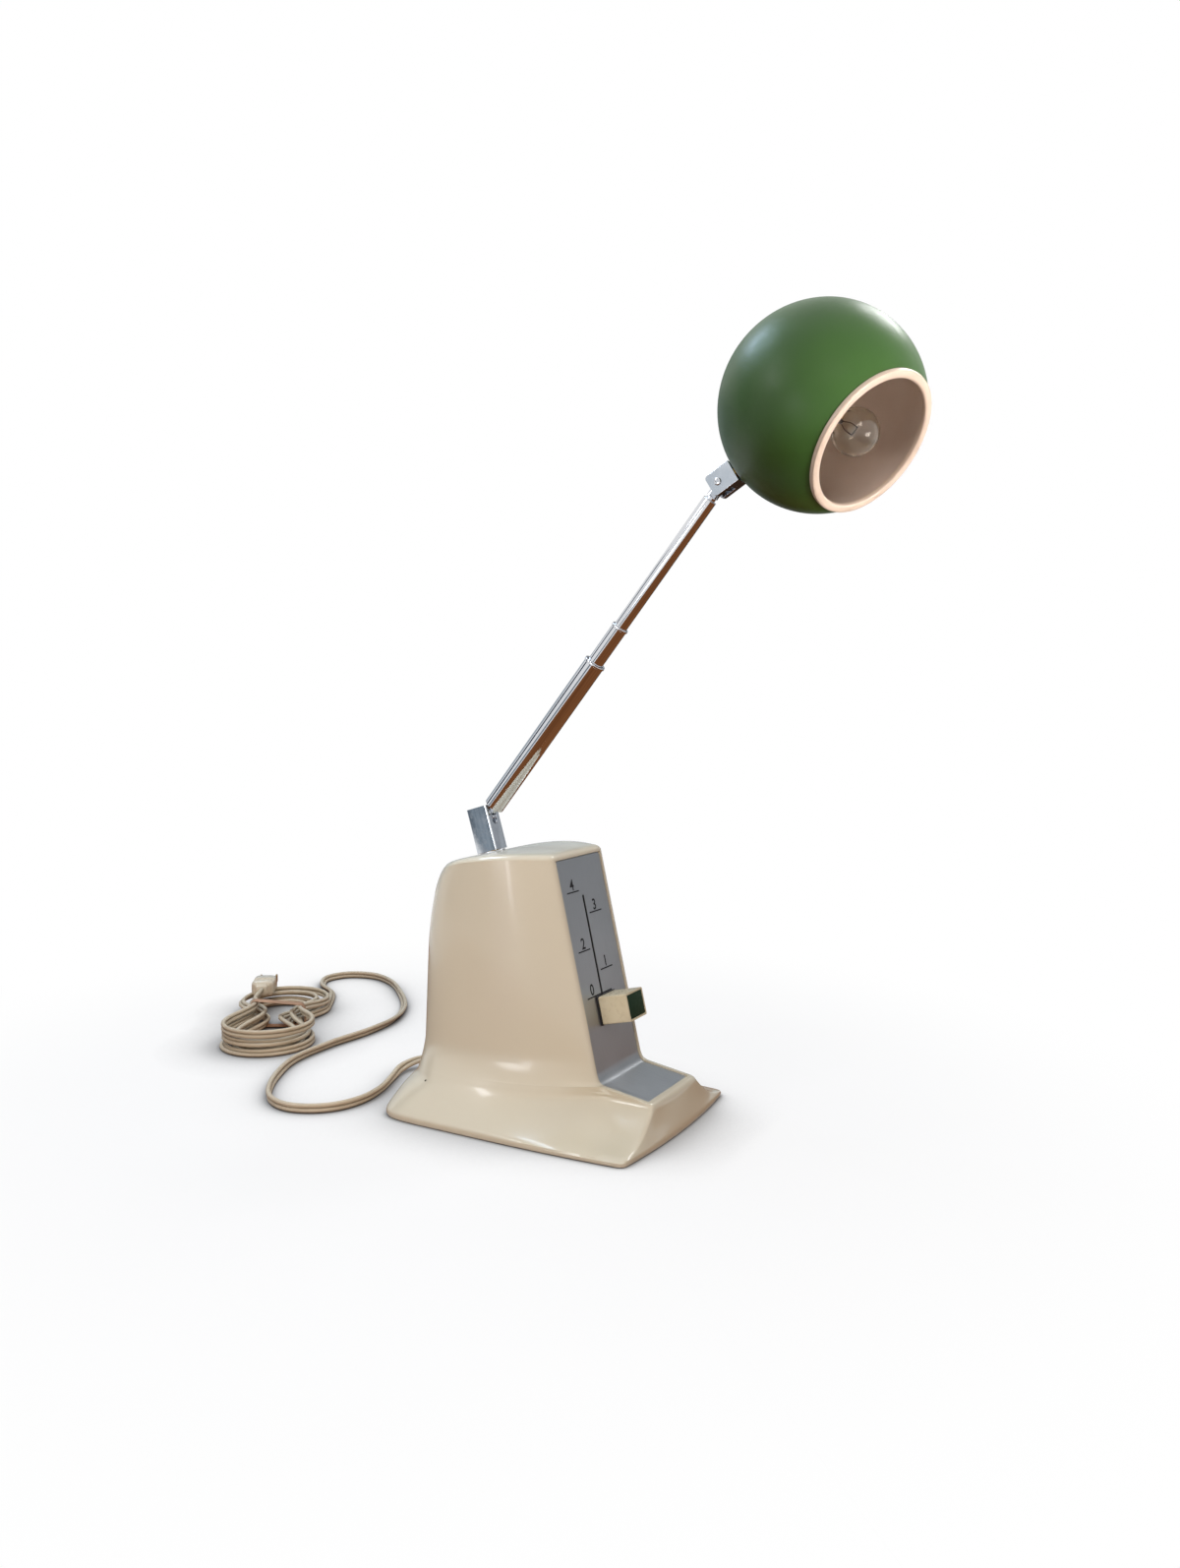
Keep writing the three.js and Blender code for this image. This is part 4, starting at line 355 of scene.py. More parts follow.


# A finished piece: in metres, smooth but for its sharp edges, on its body, in place of the solids that it
# stands for; its slot is not used. An edge is the width and the steps of a live rounding.
def finishPiece(name, bm, look, body, slot, place=Matrix(), instead=(), sharp=35, normals=True, edge=None):
    bmesh.ops.remove_doubles(bm, verts=bm.verts, dist=merging)
    if normals:
        bmesh.ops.recalc_face_normals(bm, faces=bm.faces)
    mesh = meshOf(shifted(bm, toMetres @ place), name)
    mesh.materials.append(look)
    mesh.polygons.foreach_set("use_smooth", [True] * len(mesh.polygons))
    mesh.set_sharp_from_angle(angle=math.radians(sharp))
    piece = linked(name, mesh)
    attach(piece, body)
    if instead:
        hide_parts(*instead)
    if edge:
        bevel = piece.modifiers.new("edges", "BEVEL")
        bevel.width, bevel.segments = edge[0] * millimetre, edge[1]
        bevel.limit_method, bevel.angle_limit = "ANGLE", math.radians(35)
        bevel.harden_normals = True
    return piece


# A turned piece about z, from an outline of (radius, height) points, closed on itself or at the axis.
def turned(outline, steps=64, closed=True):
    bm = bmesh.new()
    corners = [bm.verts.new((r, 0, z)) for r, z in outline]
    pairs = list(zip(corners, corners[1:]))
    if closed and outline[0][0] > 0:
        pairs.append((corners[-1], corners[0]))
    rims = [bm.edges.new(pair) for pair in pairs]
    bmesh.ops.spin(bm, geom=corners + rims, cent=(0, 0, 0), axis=(0, 0, 1), angle=fullTurn, steps=steps,
                   use_merge=True)
    bmesh.ops.remove_doubles(bm, verts=bm.verts, dist=merging)
    bmesh.ops.recalc_face_normals(bm, faces=bm.faces)
    return bm


# An outline with its corners rounded; a corner is (radius, height, rounding).
def rounded(corners, closed=True, steps=4):
    points = []
    last = len(corners) - 1
    for i, (x, y, rounding) in enumerate(corners):
        if rounding <= 0 or (not closed and i in (0, last)):
            points.append((x, y))
            continue
        here = Vector((x, y))
        before, after = (Vector(corners[k][:2]) - here for k in (i - 1, (i + 1) % len(corners)))
        reach = min(rounding, 0.49 * before.length, 0.49 * after.length)
        start, end = (here + way.normalized() * reach for way in (before, after))
        points += [tuple(bendPoint(k / steps, start, here, end)) for k in range(steps + 1)]
    return points


def bevelled(bm, edges, width, steps):
    bmesh.ops.bevel(bm, geom=edges, offset=width, segments=steps, profile=0.5, affect="EDGES", material=-1)
    return bm


# Rounds the edges of a block that run along one of its three axes.
def corneredAlong(bm, axis, width):
    edges = [edge for edge in bm.edges if abs(edge.verts[0].co[axis] - edge.verts[1].co[axis]) > 1]
    return bevelled(bm, edges, width, 4)


def block(size, middle=(0, 0, 0), bevel=None, steps=3):
    bm = bmesh.new()
    bmesh.ops.create_cube(bm, size=1, matrix=at(*middle) @ Matrix.Diagonal((*size, 1)))
    return bevelled(bm, bm.edges[:], bevel, steps) if bevel else bm


def rod(radius, low, high, sides=32, turn=Matrix()):
    bm = bmesh.new()
    bmesh.ops.create_cone(bm, cap_ends=True, segments=sides, radius1=radius, radius2=radius, depth=high - low,
                          matrix=turn @ at(0, 0, (low + high) / 2))
    return bm


# A flat outline of points, given a thickness along z.
def slab(points, low, high, turn=Matrix()):
    bm = bmesh.new()
    face = bm.faces.new([bm.verts.new((x, y, low)) for x, y in points])
    pushed = bmesh.ops.extrude_face_region(bm, geom=[face])
    moving = [part for part in pushed["geom"] if isinstance(part, bmesh.types.BMVert)]
    bmesh.ops.translate(bm, verts=moving, vec=(0, 0, high - low))
    bmesh.ops.recalc_face_normals(bm, faces=bm.faces)
    return shifted(bm, turn)


def united(*parts):
    whole = bmesh.new()
    for part in parts:
        mesh = meshOf(part, "part")
        whole.from_mesh(mesh)
        bpy.data.meshes.remove(mesh)
    return whole


# The shape of an object with its modifiers worked in; the object goes.
def shapeOf(thing):
    shown = thing.evaluated_get(bpy.context.evaluated_depsgraph_get())
    mesh = bpy.data.meshes.new_from_object(shown)
    bm = bmesh.new()
    bm.from_mesh(mesh)
    bpy.data.objects.remove(thing)
    bpy.data.meshes.remove(mesh)
    return bm


# The body after each tool has been cut from it, or added to it.
def carved(body, tools, operation="DIFFERENCE"):
    main, *spares = [linked("spare", meshOf(part, "spare")) for part in (body, *tools)]
    for spare in spares:
        change = main.modifiers.new("change", "BOOLEAN")
        change.operation, change.solver, change.object = operation, "EXACT", spare
    shape = shapeOf(main)
    for spare in spares:
        bpy.data.objects.remove(spare)
    return shape


# A closed skin over rings of equally many points.
def lofted(rings, softRings=(), looped=False):
    bm = bmesh.new()
    loops, points = [], []
    for ring in rings:
        corners = [bm.verts.new(point) for point in ring]
        points.append(corners)
        loops.append([bm.edges.new(pair) for pair in zip(corners, corners[1:] + corners[:1])])
    for first, second in zip(loops, loops[1:] + loops[:1] if looped else loops[1:]):
        bmesh.ops.bridge_loops(bm, edges=first + second)
    for loop in () if looped else (loops[0], loops[-1]):
        bmesh.ops.contextual_create(bm, geom=loop)
    soft = [corner for i in softRings for corner in points[i]]
    for _ in range(3 if soft else 0):
        bmesh.ops.smooth_vert(bm, verts=soft, factor=0.5, use_axis_x=True, use_axis_y=True, use_axis_z=True)
    bmesh.ops.recalc_face_normals(bm, faces=bm.faces)
    return bm


def leanFrame(y, z, leanBack):
    return at(0, y, z) @ Matrix.Rotation(math.radians(-leanBack), 4, "X")


def pointIn(place, x, y, z):
    return place @ Vector((x, y, z))


acrossX = Matrix.Rotation(math.pi / 2, 4, "Y")  # lays what stands along z along x
alongY = Matrix.Rotation(-math.pi / 2, 4, "X")  # lays what stands along z along y


# base shell: the sizes that its levels are drawn from

base = {
    "footHalfWidth": 71.3, "footHalfDepth": 84.9, "sideBow": 3.7, "endBow": 5.0, "backBow": 3.0,
    "footSquare": 10.0, "bodySquare": 3.4, "rimLift": 0.4, "rimTop": 4.2, "toeTop": 22.6, "toeIn": 1.3,
    "toeLip": 3.7, "hipSag": 2.1, "top": 166.0, "frontHalf": 31.0, "waistHalf": 51.0, "topHalf": 46.5,
    "waistIn": 5.9, "topIn": 8.9, "flareTop": 45.0, "sideFlare": 1.7, "backFlare": 1.6, "widestY": 30.0,
    "roofFrom": 60.0, "rollFrom": 100.0, "backDrop": 13.0, "backRoll": 16.0, "brow": 3.0,
    "roofMiddleY": 20.0, "roofCurve": 2.7, "wall": 3.0,
}
panel = {
    "lean": 13.27, "bend": (-43.6, 35.8), "drop": (-5.5, -7.4), "corner": (-1.6, -6.8),
    "toeRun": (-29.35, -4.55), "width": 55.4, "length": 129.0, "thickness": 0.8, "border": 0.7,
    "slotX": -2.6, "slotWidth": 2.2, "slotBottom": 30.8, "slotTop": 105.3, "gap": 0.45, "rounding": 2.6,
}
panelPlace = leanFrame(*panel["bend"], panel["lean"])
backEdge = base["footHalfDepth"] + base["backBow"]
waistBack = backEdge - base["waistIn"]
topBack = backEdge - base["topIn"]


def wallAt(z, low, high):
    return between(low, high, (z - base["flareTop"]) / (base["top"] - base["flareTop"]))


def flared(z, low, high, foot, sharpness):
    share = max(0, (base["flareTop"] - z) / (base["flareTop"] - base["rimTop"]))
    return wallAt(z, low, high) + (foot - wallAt(base["rimTop"], low, high)) * share ** sharpness


cordExit = {"x": 24.0, "z": 9.5, "outside": 12.0, "hole": 4.5, "holeReach": (-9, 14)}
reliefExit = flared(cordExit["z"], waistBack, topBack, backEdge, base["backFlare"]) + cordExit["outside"]


# cord: one flat twin lead, from the strain relief over the desk, round its hank and into the plug

cord = {
    "tubeRadius": 3.0, "floorClear": 0.05, "strandRadius": 1.52, "strandSpread": 1.52, "web": 0.5,
    "drop": [(23.4, 12.0, 8.9), (20, 18.1, 7.2), (11, 24.6, 5.4), (-1, 25.6, 4), (-16, 20.6, 3.3)],
    "onDesk": [(-40, 12.1), (-62, 9.6), (-80, 15.1), (-92, 28.1), (-96, 44.1), (-90, 61.1), (-75, 76.1),
               (-50, 92.1), (-21, 104.1), (20, 107.1), (60, 104.1), (95, 108.1), (132, 126.1), (165, 156.1),
               (190, 186.1), (200, 213.1), (192, 236.1), (172, 243.1), (153, 232.1), (138, 209.1)],
    "turnIn": 24.0, "swayLength": 95, "swaySeed": (3.1, 0.7), "leanOnDesk": (1.05, 1.5),
    "leanInHank": (1.1, 1.2), "reachesHank": (620, 700), "leavesBase": 60, "reachesDesk": 140,
    "restClear": 0.1, "leadStep": 3.0, "step": 2.6,
}
hank = {
    "middle": (40.0, 180.1), "turn": 35.5, "run": 90.0, "fold": 18.5, "pitch": 8.5, "layer": 6.7,
    "layerTurns": 2, "rise": 0.25, "steps": 24, "count": 112, "waistClear": 3.4, "tieThickness": 1.0,
    "tailRun": 17.4, "tailShift": -1.5, "tailSteps": 12, "plugHeight": 13.0,
}
deskLevel = cord["tubeRadius"] + cord["floorClear"]
hankPlace = (at(hank["middle"][0], reliefExit + hank["middle"][1], 0)
             @ Matrix.Rotation(math.radians(hank["turn"]), 4, "Z"))


def waist(u):
    return math.cos(math.pi * max(-0.5, min(0.5, u / hank["run"]))) ** 2


# The hank's line after so many steps: a run, a fold, the run back and a fold make one turn.
def hankPoint(step):
    turns = step / hank["steps"]
    quarter = int(math.floor(4 * turns)) % 4
    share = 4 * turns - math.floor(4 * turns)
    layers = hank["layerTurns"]
    inward = abs((turns + layers) % (2 * layers) - layers)
    radius = hank["fold"] + hank["pitch"] * abs(layers - inward)
    side = -1 if quarter < 2 else 1
    if quarter % 2 == 0:
        u = side * (share - 0.5) * hank["run"]
        v = side * (radius - (hank["fold"] - hank["waistClear"]) * waist(u))
    else:
        u = side * (hank["run"] / 2 + radius * math.sin(math.pi * share))
        v = side * radius * math.cos(math.pi * share)
    level = sum(smoothStep(turns, full, full + hank["rise"]) for full in (layers, 2 * layers))
    room = hank["tieThickness"] + 2 * clearance
    return Vector((u, v, deskLevel + hank["layer"] * level + room * waist(u)))


def hankLine():
    turns = [hankPoint(i / 2) for i in range(2 * hank["count"] + 1)]
    last = turns[-1]
    plugZ = deskLevel + hank["layer"] + cord["tubeRadius"] + clearance + hank["plugHeight"] / 2
    end = Vector((last.x + hank["tailRun"], last.y + hank["tailShift"], plugZ))
    reach = hank["tailRun"] / 3
    first = last + (hankPoint(hank["count"]) - hankPoint(hank["count"] - 1)).normalized() * reach
    second = end - Vector((reach, 0, 0))
    tail = geometry.interpolate_bezier(last, first, second, end, hank["tailSteps"])
    lead = 2 * cord["tubeRadius"]
    return [turns[0] + Vector((lead, 0, 0)), *turns, *tail[1:], end + Vector((lead, 0, 0))], end


# A centripetal curve through points, as even steps along it.
def smoothLine(points, step, parts=24):
    padded = [2 * points[0] - points[1], *points, 2 * points[-1] - points[-2]]
    dense = []
    for p0, p1, p2, p3 in zip(padded, padded[1:], padded[2:], padded[3:]):
        d0, d1, d2 = (math.sqrt((b - a).length) for a, b in ((p0, p1), (p1, p2), (p2, p3)))
        t1 = ((p1 - p0) / d0 - (p2 - p0) / (d0 + d1) + (p2 - p1) / d1) * d1
        t2 = ((p2 - p1) / d1 - (p3 - p1) / (d1 + d2) + (p3 - p2) / d2) * d1
        for k in range(parts):
            s = k / parts
            dense.append(p1 * (2 * s ** 3 - 3 * s ** 2 + 1) + t1 * (s ** 3 - 2 * s ** 2 + s)
                         + p2 * (-2 * s ** 3 + 3 * s ** 2) + t2 * (s ** 3 - s ** 2))
    dense.append(points[-1])
    return evenLine(dense, step)


def evenLine(dense, step):
    lengths = [0.0]
    for a, b in zip(dense, dense[1:]):
        lengths.append(lengths[-1] + (b - a).length)
    count = max(2, round(lengths[-1] / step))
    line, k = [], 0
    for i in range(count + 1):
        wanted = lengths[-1] * i / count
        while k < len(dense) - 2 and lengths[k + 1] < wanted:
            k += 1
        share = (wanted - lengths[k]) / max(1e-9, lengths[k + 1] - lengths[k])
        line.append(dense[k].lerp(dense[k + 1], max(0.0, min(1.0, share))))
    return line


hankWay, plugSeat = hankLine()


def intoHank(distance):
    return hankPlace @ Vector((hankWay[0].x + distance, hankWay[0].y, deskLevel))


def cordLine():
    straight = 2 * cord["tubeRadius"] + clearance
    way = [Vector((cordExit["x"], reliefExit + straight, cordExit["z"]))]
    way += [Vector((x, reliefExit + behind, z)) for x, behind, z in cord["drop"]]
    way += [Vector((x, reliefExit + behind, deskLevel)) for x, behind in cord["onDesk"]]
    way += [intoHank(cord["turnIn"]), intoHank(straight)]
    start = Vector((cordExit["x"], reliefExit + clearance, cordExit["z"]))
    return [start, *smoothLine(way, cord["leadStep"])], [hankPlace @ p for p in hankWay]


leadWay, coilWay = cordLine()
cordWay = evenLine(leadWay + coilWay, cord["step"])
cordLength = sum((b - a).length for a, b in zip(cordWay, cordWay[1:]))


# How far the flat cord leans over from lying flat, in radians, after so many millimetres.
def cordLean(along):
    sway = noise.noise(Vector((along / cord["swayLength"], *cord["swaySeed"])))
    leans = [mean + swing * sway for mean, swing in (cord["leanOnDesk"], cord["leanInHank"])]
    return between(*leans, smoothStep(along, *cord["reachesHank"])) * smoothStep(along, 0, cord["leavesBase"])


def twinSection():
    radius, spread = cord["strandRadius"], cord["strandSpread"]
    half = [(spread + radius * math.cos(a), radius * math.sin(a))
            for a in [math.radians(-140 + 280 * k / 11) for k in range(12)]]
    other = [(-x, -y) for x, y in half]
    return half + [(0, cord["web"])] + other + [(0, -cord["web"])]


# Each point of a line, how far along it is, how a cord leans there, and the ways across and above it.
def framesAlong(line, leanOf):
    along = 0.0
    for i, point in enumerate(line):
        ahead, behind = line[min(len(line) - 1, i + 1)], line[max(0, i - 1)]
        heading = (ahead - behind).normalized()
        side = Vector((heading.y, -heading.x, 0)).normalized()
        up = side.cross(heading)
        lean = leanOf(along)
        across = side * math.cos(lean) + up * math.sin(lean)
        yield point, along, lean, across, up * math.cos(lean) - side * math.sin(lean)
        along += (ahead - point).length


# A tube of that section along a line, leaning as leanOf says, with its ends closed.
def sweptTube(line, section, leanOf):
    return lofted([[point + across * x + above * y for x, y in section]
                   for point, _, _, across, above in framesAlong(line, leanOf)])


# The less the cord leans, the lower it lies: its lower strand is what touches the desk.
def settledLine(line):
    settled = []
    for point, along, lean, *_ in framesAlong(line, cordLean):
        rest = cord["strandRadius"] + cord["strandSpread"] * abs(math.sin(lean)) + cord["restClear"]
        drop = (deskLevel - rest) * smoothStep(along, cord["leavesBase"], cord["reachesDesk"])
        settled.append(point - Vector((0, 0, min(drop, max(0.0, point.z - rest)))))
    return settled


cordRest = settledLine(cordWay)
mainsCord = finishPiece("mainsCord", sweptTube(cordRest, twinSection(), cordLean), cordVinyl, "base", "cord",
                        instead=("cord_lead", "cord_hank"))
print("stage: cord", round(cordLength), "mm long")


# base shell, lofted from the desk to the roof

shellDetail = {
    "front": 6, "corner": 4, "side": 22, "back": 26, "footCorner": 4.0, "bodyCorner": 2.3, "footEdge": 0.6,
    "footLevels": (2.6, 3.7), "toeShares": (0.02, 0.06, 0.12, 0.2, 0.3, 0.42, 0.56, 0.7, 0.84, 0.94, 1),
    "bendShares": (0, 0.03, 0.1, 0.25, 0.45, 0.65, 0.82, 0.95), "levels": 44, "levelGrowth": 1.35,
    "browShares": (0.003, 0.008, 0.016, 0.027, 0.042, 0.062, 0.09, 0.13, 0.19, 0.3, 0.45, 0.62, 0.8, 0.94),
    "browFall": 0.043, "bendSteps": 12, "softRings": (1, 2, 3, 4, 5, 12, 13, 14, 15, 16, 17, 18),
    "cavityLevels": 16, "cavityFrom": 5, "coverTop": 3.8, "coverInset": 8,
}
bendUpper = Vector(panel["bend"])
bendLower = bendUpper + Vector(panel["drop"])
bendCorner = bendUpper + Vector(panel["corner"])
toeFront = base["toeIn"] - base["footHalfDepth"]


# The panel's outer face seen from the side, as (y, z) from the top down, with its ends moved out.
def panelLine(extra, toeExtra, bendSteps):
    lean = math.radians(panel["lean"])
    run = Vector(panel["toeRun"])
    top = bendUpper + Vector((math.sin(lean), math.cos(lean))) * (panel["length"] + extra)
    bend = [bendPoint(k / bendSteps, bendUpper, bendCorner, bendLower) for k in range(bendSteps + 1)]
    return [top, *bend, bendLower + run * (1 + toeExtra / run.length)]


# A line of (y, z) points moved to its right by a distance.
def offsetLine(line, distance):
    moved = []
    for i, point in enumerate(line):
        ways = [(b - a).normalized() for a, b in zip(line[max(0, i - 1):i + 1], line[max(1, i):i + 2])]
        normals = [Vector((way.y, -way.x)) for way in ways]
        mean = sum(normals, Vector((0, 0))) / len(normals)
        moved.append(point + mean * (distance / mean.length_squared))
    return moved


# The shell's outline at one level, moved in by the inset: from the front to the back, then its mirror.
def levelPoints(inset, z, fall, frontY, backY, frontHalf, half, middleY, openY, bow, square, corner):
    front, back, opens = frontY + inset, backY - inset, openY + inset
    narrow, wide = frontHalf - inset, half - inset

    def sideX(y):
        share = max(0.0, (y - opens) / (middleY - opens))
        return between(narrow, wide, 1 - (1 - share) ** 2)

    side = []
    for i in range(shellDetail["front"] + 1):
        x = (narrow - corner) * i / shellDetail["front"]
        side.append(Vector((x, front - bow * (1 - (x / narrow) ** 2))))
    start, end = side[-1], Vector((sideX(front + corner), front + corner))
    for k in range(1, shellDetail["corner"] + 1):
        side.append(bendPoint(k / shellDetail["corner"], start, Vector((narrow, front)), end))
    for i in range(1, shellDetail["side"]):
        y = between(front + corner, middleY, i / shellDetail["side"])
        side.append(Vector((sideX(y), y)))
    for i in range(shellDetail["back"] + 1):
        angle = math.pi / 2 * i / shellDetail["back"]
        x = 0 if i == shellDetail["back"] else wide * math.cos(angle) ** (2 / square)
        side.append(Vector((x, middleY + (back - middleY) * math.sin(angle) ** (2 / square))))
    points = []
    for point in side:
        share = max(0.0, min(1.0, (point.y - front) / (back - front)))
        points.append(Vector((*point, z - fall * share ** base["roofCurve"] - inset)))
    return points + [Vector((-p.x, p.y, p.z)) for p in points[-2:0:-1]]


def wallHalf(z):
    foot = base["footHalfWidth"] + base["sideBow"]
    return flared(z, base["waistHalf"], base["topHalf"], foot, base["sideFlare"])


# A level of the toe: 0 is the foot's rim and 1 the top of the toe. The foot has the rim's outline.
def toeLevel(share, inset, z=None):
    height = between(base["rimTop"], base["toeTop"], share)
    return levelPoints(
        inset, z=height if z is None else z, fall=0, frontY=between(-base["footHalfDepth"], toeFront, share),
        backY=flared(height, waistBack, topBack, backEdge, base["backFlare"]), half=wallHalf(height),
        frontHalf=between(base["footHalfWidth"], base["frontHalf"], share ** (1 / base["hipSag"])),
        openY=between(-base["footHalfDepth"], bendLower.x, math.sqrt(share)),
        bow=base["endBow"] * (1 - share), middleY=base["widestY"] * math.sqrt(share),
        square=between(base["footSquare"], base["bodySquare"], share),
        corner=between(shellDetail["footCorner"], shellDetail["bodyCorner"], share))


# A level above the toe, where the panel's edge is at frontY.
def bodyLevel(z, frontY, inset):
    rise, roll = (max(0.0, (z - start) / (base["top"] - start))
                  for start in (base["roofFrom"], base["rollFrom"]))
    back = flared(z, waistBack, topBack, backEdge, base["backFlare"])
    return levelPoints(
        inset, z=z, fall=base["backDrop"] * rise ** 2, frontY=frontY, frontHalf=base["frontHalf"],
        backY=back - base["backRoll"] * (1 - math.sqrt(1 - roll ** 2)), half=wallHalf(z),
        openY=max(frontY, bendLower.x), bow=0.0, middleY=base["widestY"], square=base["bodySquare"],
        corner=shellDetail["bodyCorner"])


def shellRings(inset=0.0, levels=shellDetail["levels"]):
    edge = shellDetail["footEdge"]
    foot = base["rimLift"] + edge
    rings = [toeLevel(0, inset + edge, foot), toeLevel(0, inset, foot)]
    rings += [toeLevel(0, inset, z) for z in shellDetail["footLevels"]]
    rings += [toeLevel(share, inset) for share in shellDetail["toeShares"]]
    outside = panelLine(0, base["toeLip"], shellDetail["bendSteps"])
    border = offsetLine(outside, panel["border"])[:0:-1]
    toe = [border[0].lerp(border[1], share) for share in shellDetail["bendShares"]]
    rings += [bodyLevel(point.y, point.x, inset) for point in toe + border[1:]]
    brow = base["top"] - base["brow"]
    for k in range(1, levels + 1):
        z = between(border[-1].y, brow, 1 - (1 - k / levels) ** shellDetail["levelGrowth"])
        front = border[-1].x + (z - border[-1].y) * math.tan(math.radians(panel["lean"]))
        rings.append(bodyLevel(z, front, inset))
    top = rings[-1]
    backmost = max(top, key=lambda point: point.y)
    drop = top[0].z - backmost.z
    for shrink in shellDetail["browShares"]:
        lift = 1 - math.exp(-shrink / shellDetail["browFall"])
        ring = []
        for point in top:
            y = between(point.y, base["roofMiddleY"], shrink)
            share = max(0.0, (y - top[0].y) / (backmost.y - top[0].y))
            z = brow - inset + base["brow"] * lift - drop * share ** base["roofCurve"]
            ring.append(Vector((point.x * (1 - shrink), y, z)))
        rings.append(ring)
    return rings


alongX = Matrix(((0, 0, 1, 0), (1, 0, 0, 0), (0, 1, 0, 0), (0, 0, 0, 1)))  # x, y, z of a slab to y, z, x


# A plate whose outline lies in (y, z), across x, with its four far corners rounded.
def crossPlate(outline, width, rounding=0.0):
    bm = slab(outline, -width / 2, width / 2, alongX)
    far = outline[0], outline[len(outline) // 2 - 1]

    def isCorner(edge):
        first, second = (corner.co for corner in edge.verts)
        return (abs(first.x - second.x) < 0.01 and edge.calc_length() < 4 and any(
            (first.yz - end).length < 2.6 and (second.yz - end).length < 2.6 for end in far))

    if rounding:
        bevelled(bm, [edge for edge in bm.edges if isCorner(edge)], rounding, 5)
    bmesh.ops.recalc_face_normals(bm, faces=bm.faces)
    return bm


swivel = {"y": 49.8, "drop": 5.6, "lean": 16.9}
bracketPlace = leanFrame(swivel["y"], base["top"] - swivel["drop"], swivel["lean"])
seat = {"radius": 9.6, "depth": 6.0, "washer": 1.0, "stud": 4.75}
seatTop = -2 * clearance - seat["washer"]
seatBottom = seatTop - seat["depth"]
screws = {"toe": (22, 18.9), "heel": (38, 17.9), "boss": 4.2, "heelTop": 60.0, "hole": 1.9, "holeTop": 14.3}
track = {"width": 10.6, "depth": 3.8, "screws": (16.3, 118.5), "hole": 1.5}
slotMiddle = (panel["slotBottom"] + panel["slotTop"]) / 2
slotHeight = panel["slotTop"] - panel["slotBottom"]
coverScrewSpots = [(side * x, y) for x, y in (
    (screws["toe"][0], screws["toe"][1] - base["footHalfDepth"]),
    (screws["heel"][0], base["footHalfDepth"] - screws["heel"][1])) for side in (-1, 1)]


def makeBaseShell():
    skin = lofted(shellRings(), softRings=shellDetail["softRings"])
    hollow = lofted(shellRings(base["wall"], shellDetail["cavityLevels"])[shellDetail["cavityFrom"]:])
    floor = shellDetail["coverTop"]
    plate = [point.xy for point in toeLevel(0, shellDetail["coverInset"] - panel["gap"], 0)]
    cavity = carved(hollow, [slab(plate, -1, floor)], "UNION")
    posts = [shifted(rod(screws["boss"], floor, base["toeTop"] + 1 if y < 0 else screws["heelTop"]),
                     at(x, y, 0)) for x, y in coverScrewSpots]
    boss = shifted(rod(seat["radius"], seatBottom, seatTop, 48), bracketPlace)
    cavity = carved(cavity, [*posts, boss])
    outside = panelLine(panel["gap"], panel["gap"], shellDetail["bendSteps"])
    behind = offsetLine(outside, -panel["thickness"] - clearance)[::-1]
    recess = crossPlate(offsetLine(outside, base["wall"]) + behind, panel["width"] + 2 * panel["gap"],
                        panel["rounding"] + panel["gap"])
    slot = shifted(block((track["width"], 2 * track["depth"], slotHeight), (panel["slotX"], 0, slotMiddle)),
                   panelPlace)
    well = shifted(rod(seat["radius"] + clearance, seatTop, seatTop + seat["depth"], 64), bracketPlace)
    studHole = shifted(rod(seat["stud"] + clearance, seatBottom - 1, seatTop + 1, 40), bracketPlace)
    reliefHole = rod(cordExit["hole"], *cordExit["holeReach"], 40,
                     at(cordExit["x"], reliefExit - cordExit["outside"], cordExit["z"]) @ alongY)
    screwHoles = [shifted(rod(screws["hole"], 3, screws["holeTop"], 20), at(x, y, 0))
                  for x, y in coverScrewSpots]
    trackHoles = [rod(track["hole"], 0, 2 * track["depth"], 16,
                      panelPlace @ at(panel["slotX"], 0, z) @ alongY) for z in track["screws"]]
    shell = carved(skin, [cavity, recess, slot, well, studHole, reliefHole, *screwHoles, *trackHoles])
    finishPiece("baseShell", shell, cream, "base", "cream", instead=["base_shell"], sharp=28, normals=False)


makeBaseShell()
print("stage: base shell")


# front panel with its setting marks, each a height, a left and a right end and the middle of its number

marks = {
    "line": 0.85, "raise": 0.05, "digit": 9.6, "bold": 0.16, "lift": 1.2,
    "fromTop": ((108.4, -21.2, -6.6, -13.9), (93.2, 1.05, 16.5, 8.8), (71.8, -21.2, -6.6, -13.9),
                (57.2, 1.05, 16.5, 8.8), (43.2, -21.2, 10.0, -13.9)),
}


def makeFrontPanel():
    outside = panelLine(0, 0, 14)
    behind = offsetLine(outside, -panel["thickness"])[::-1]
    plate = crossPlate(outside + behind, panel["width"], panel["rounding"])
    end = panel["slotWidth"] / 2
    slot = block((2 * end, 8, slotHeight - 2 * end), (panel["slotX"], 0, slotMiddle))
    ends = [rod(end, -4, 4, 16, at(panel["slotX"], 0, z) @ alongY)
            for z in (panel["slotBottom"] + end, panel["slotTop"] - end)]
    tools = [shifted(tool, panelPlace) for tool in (slot, *ends)]
    finishPiece("frontPanel", carved(plate, tools), brushed, "base", "panel", instead=["front_panel"],
                sharp=30, edge=(0.12, 1))


def printedNumber(text, x, height):
    curve = bpy.data.curves.new("number", "FONT")
    curve.body, curve.align_x, curve.size = text, "CENTER", marks["digit"]
    curve.extrude, curve.offset = marks["raise"] / 2, marks["bold"]
    shape = shapeOf(linked("number", curve))
    bpy.data.curves.remove(curve)
    upright = at(x, -marks["raise"] / 2, height) @ Matrix.Rotation(math.pi / 2, 4, "X")
    return shifted(shape, upright)


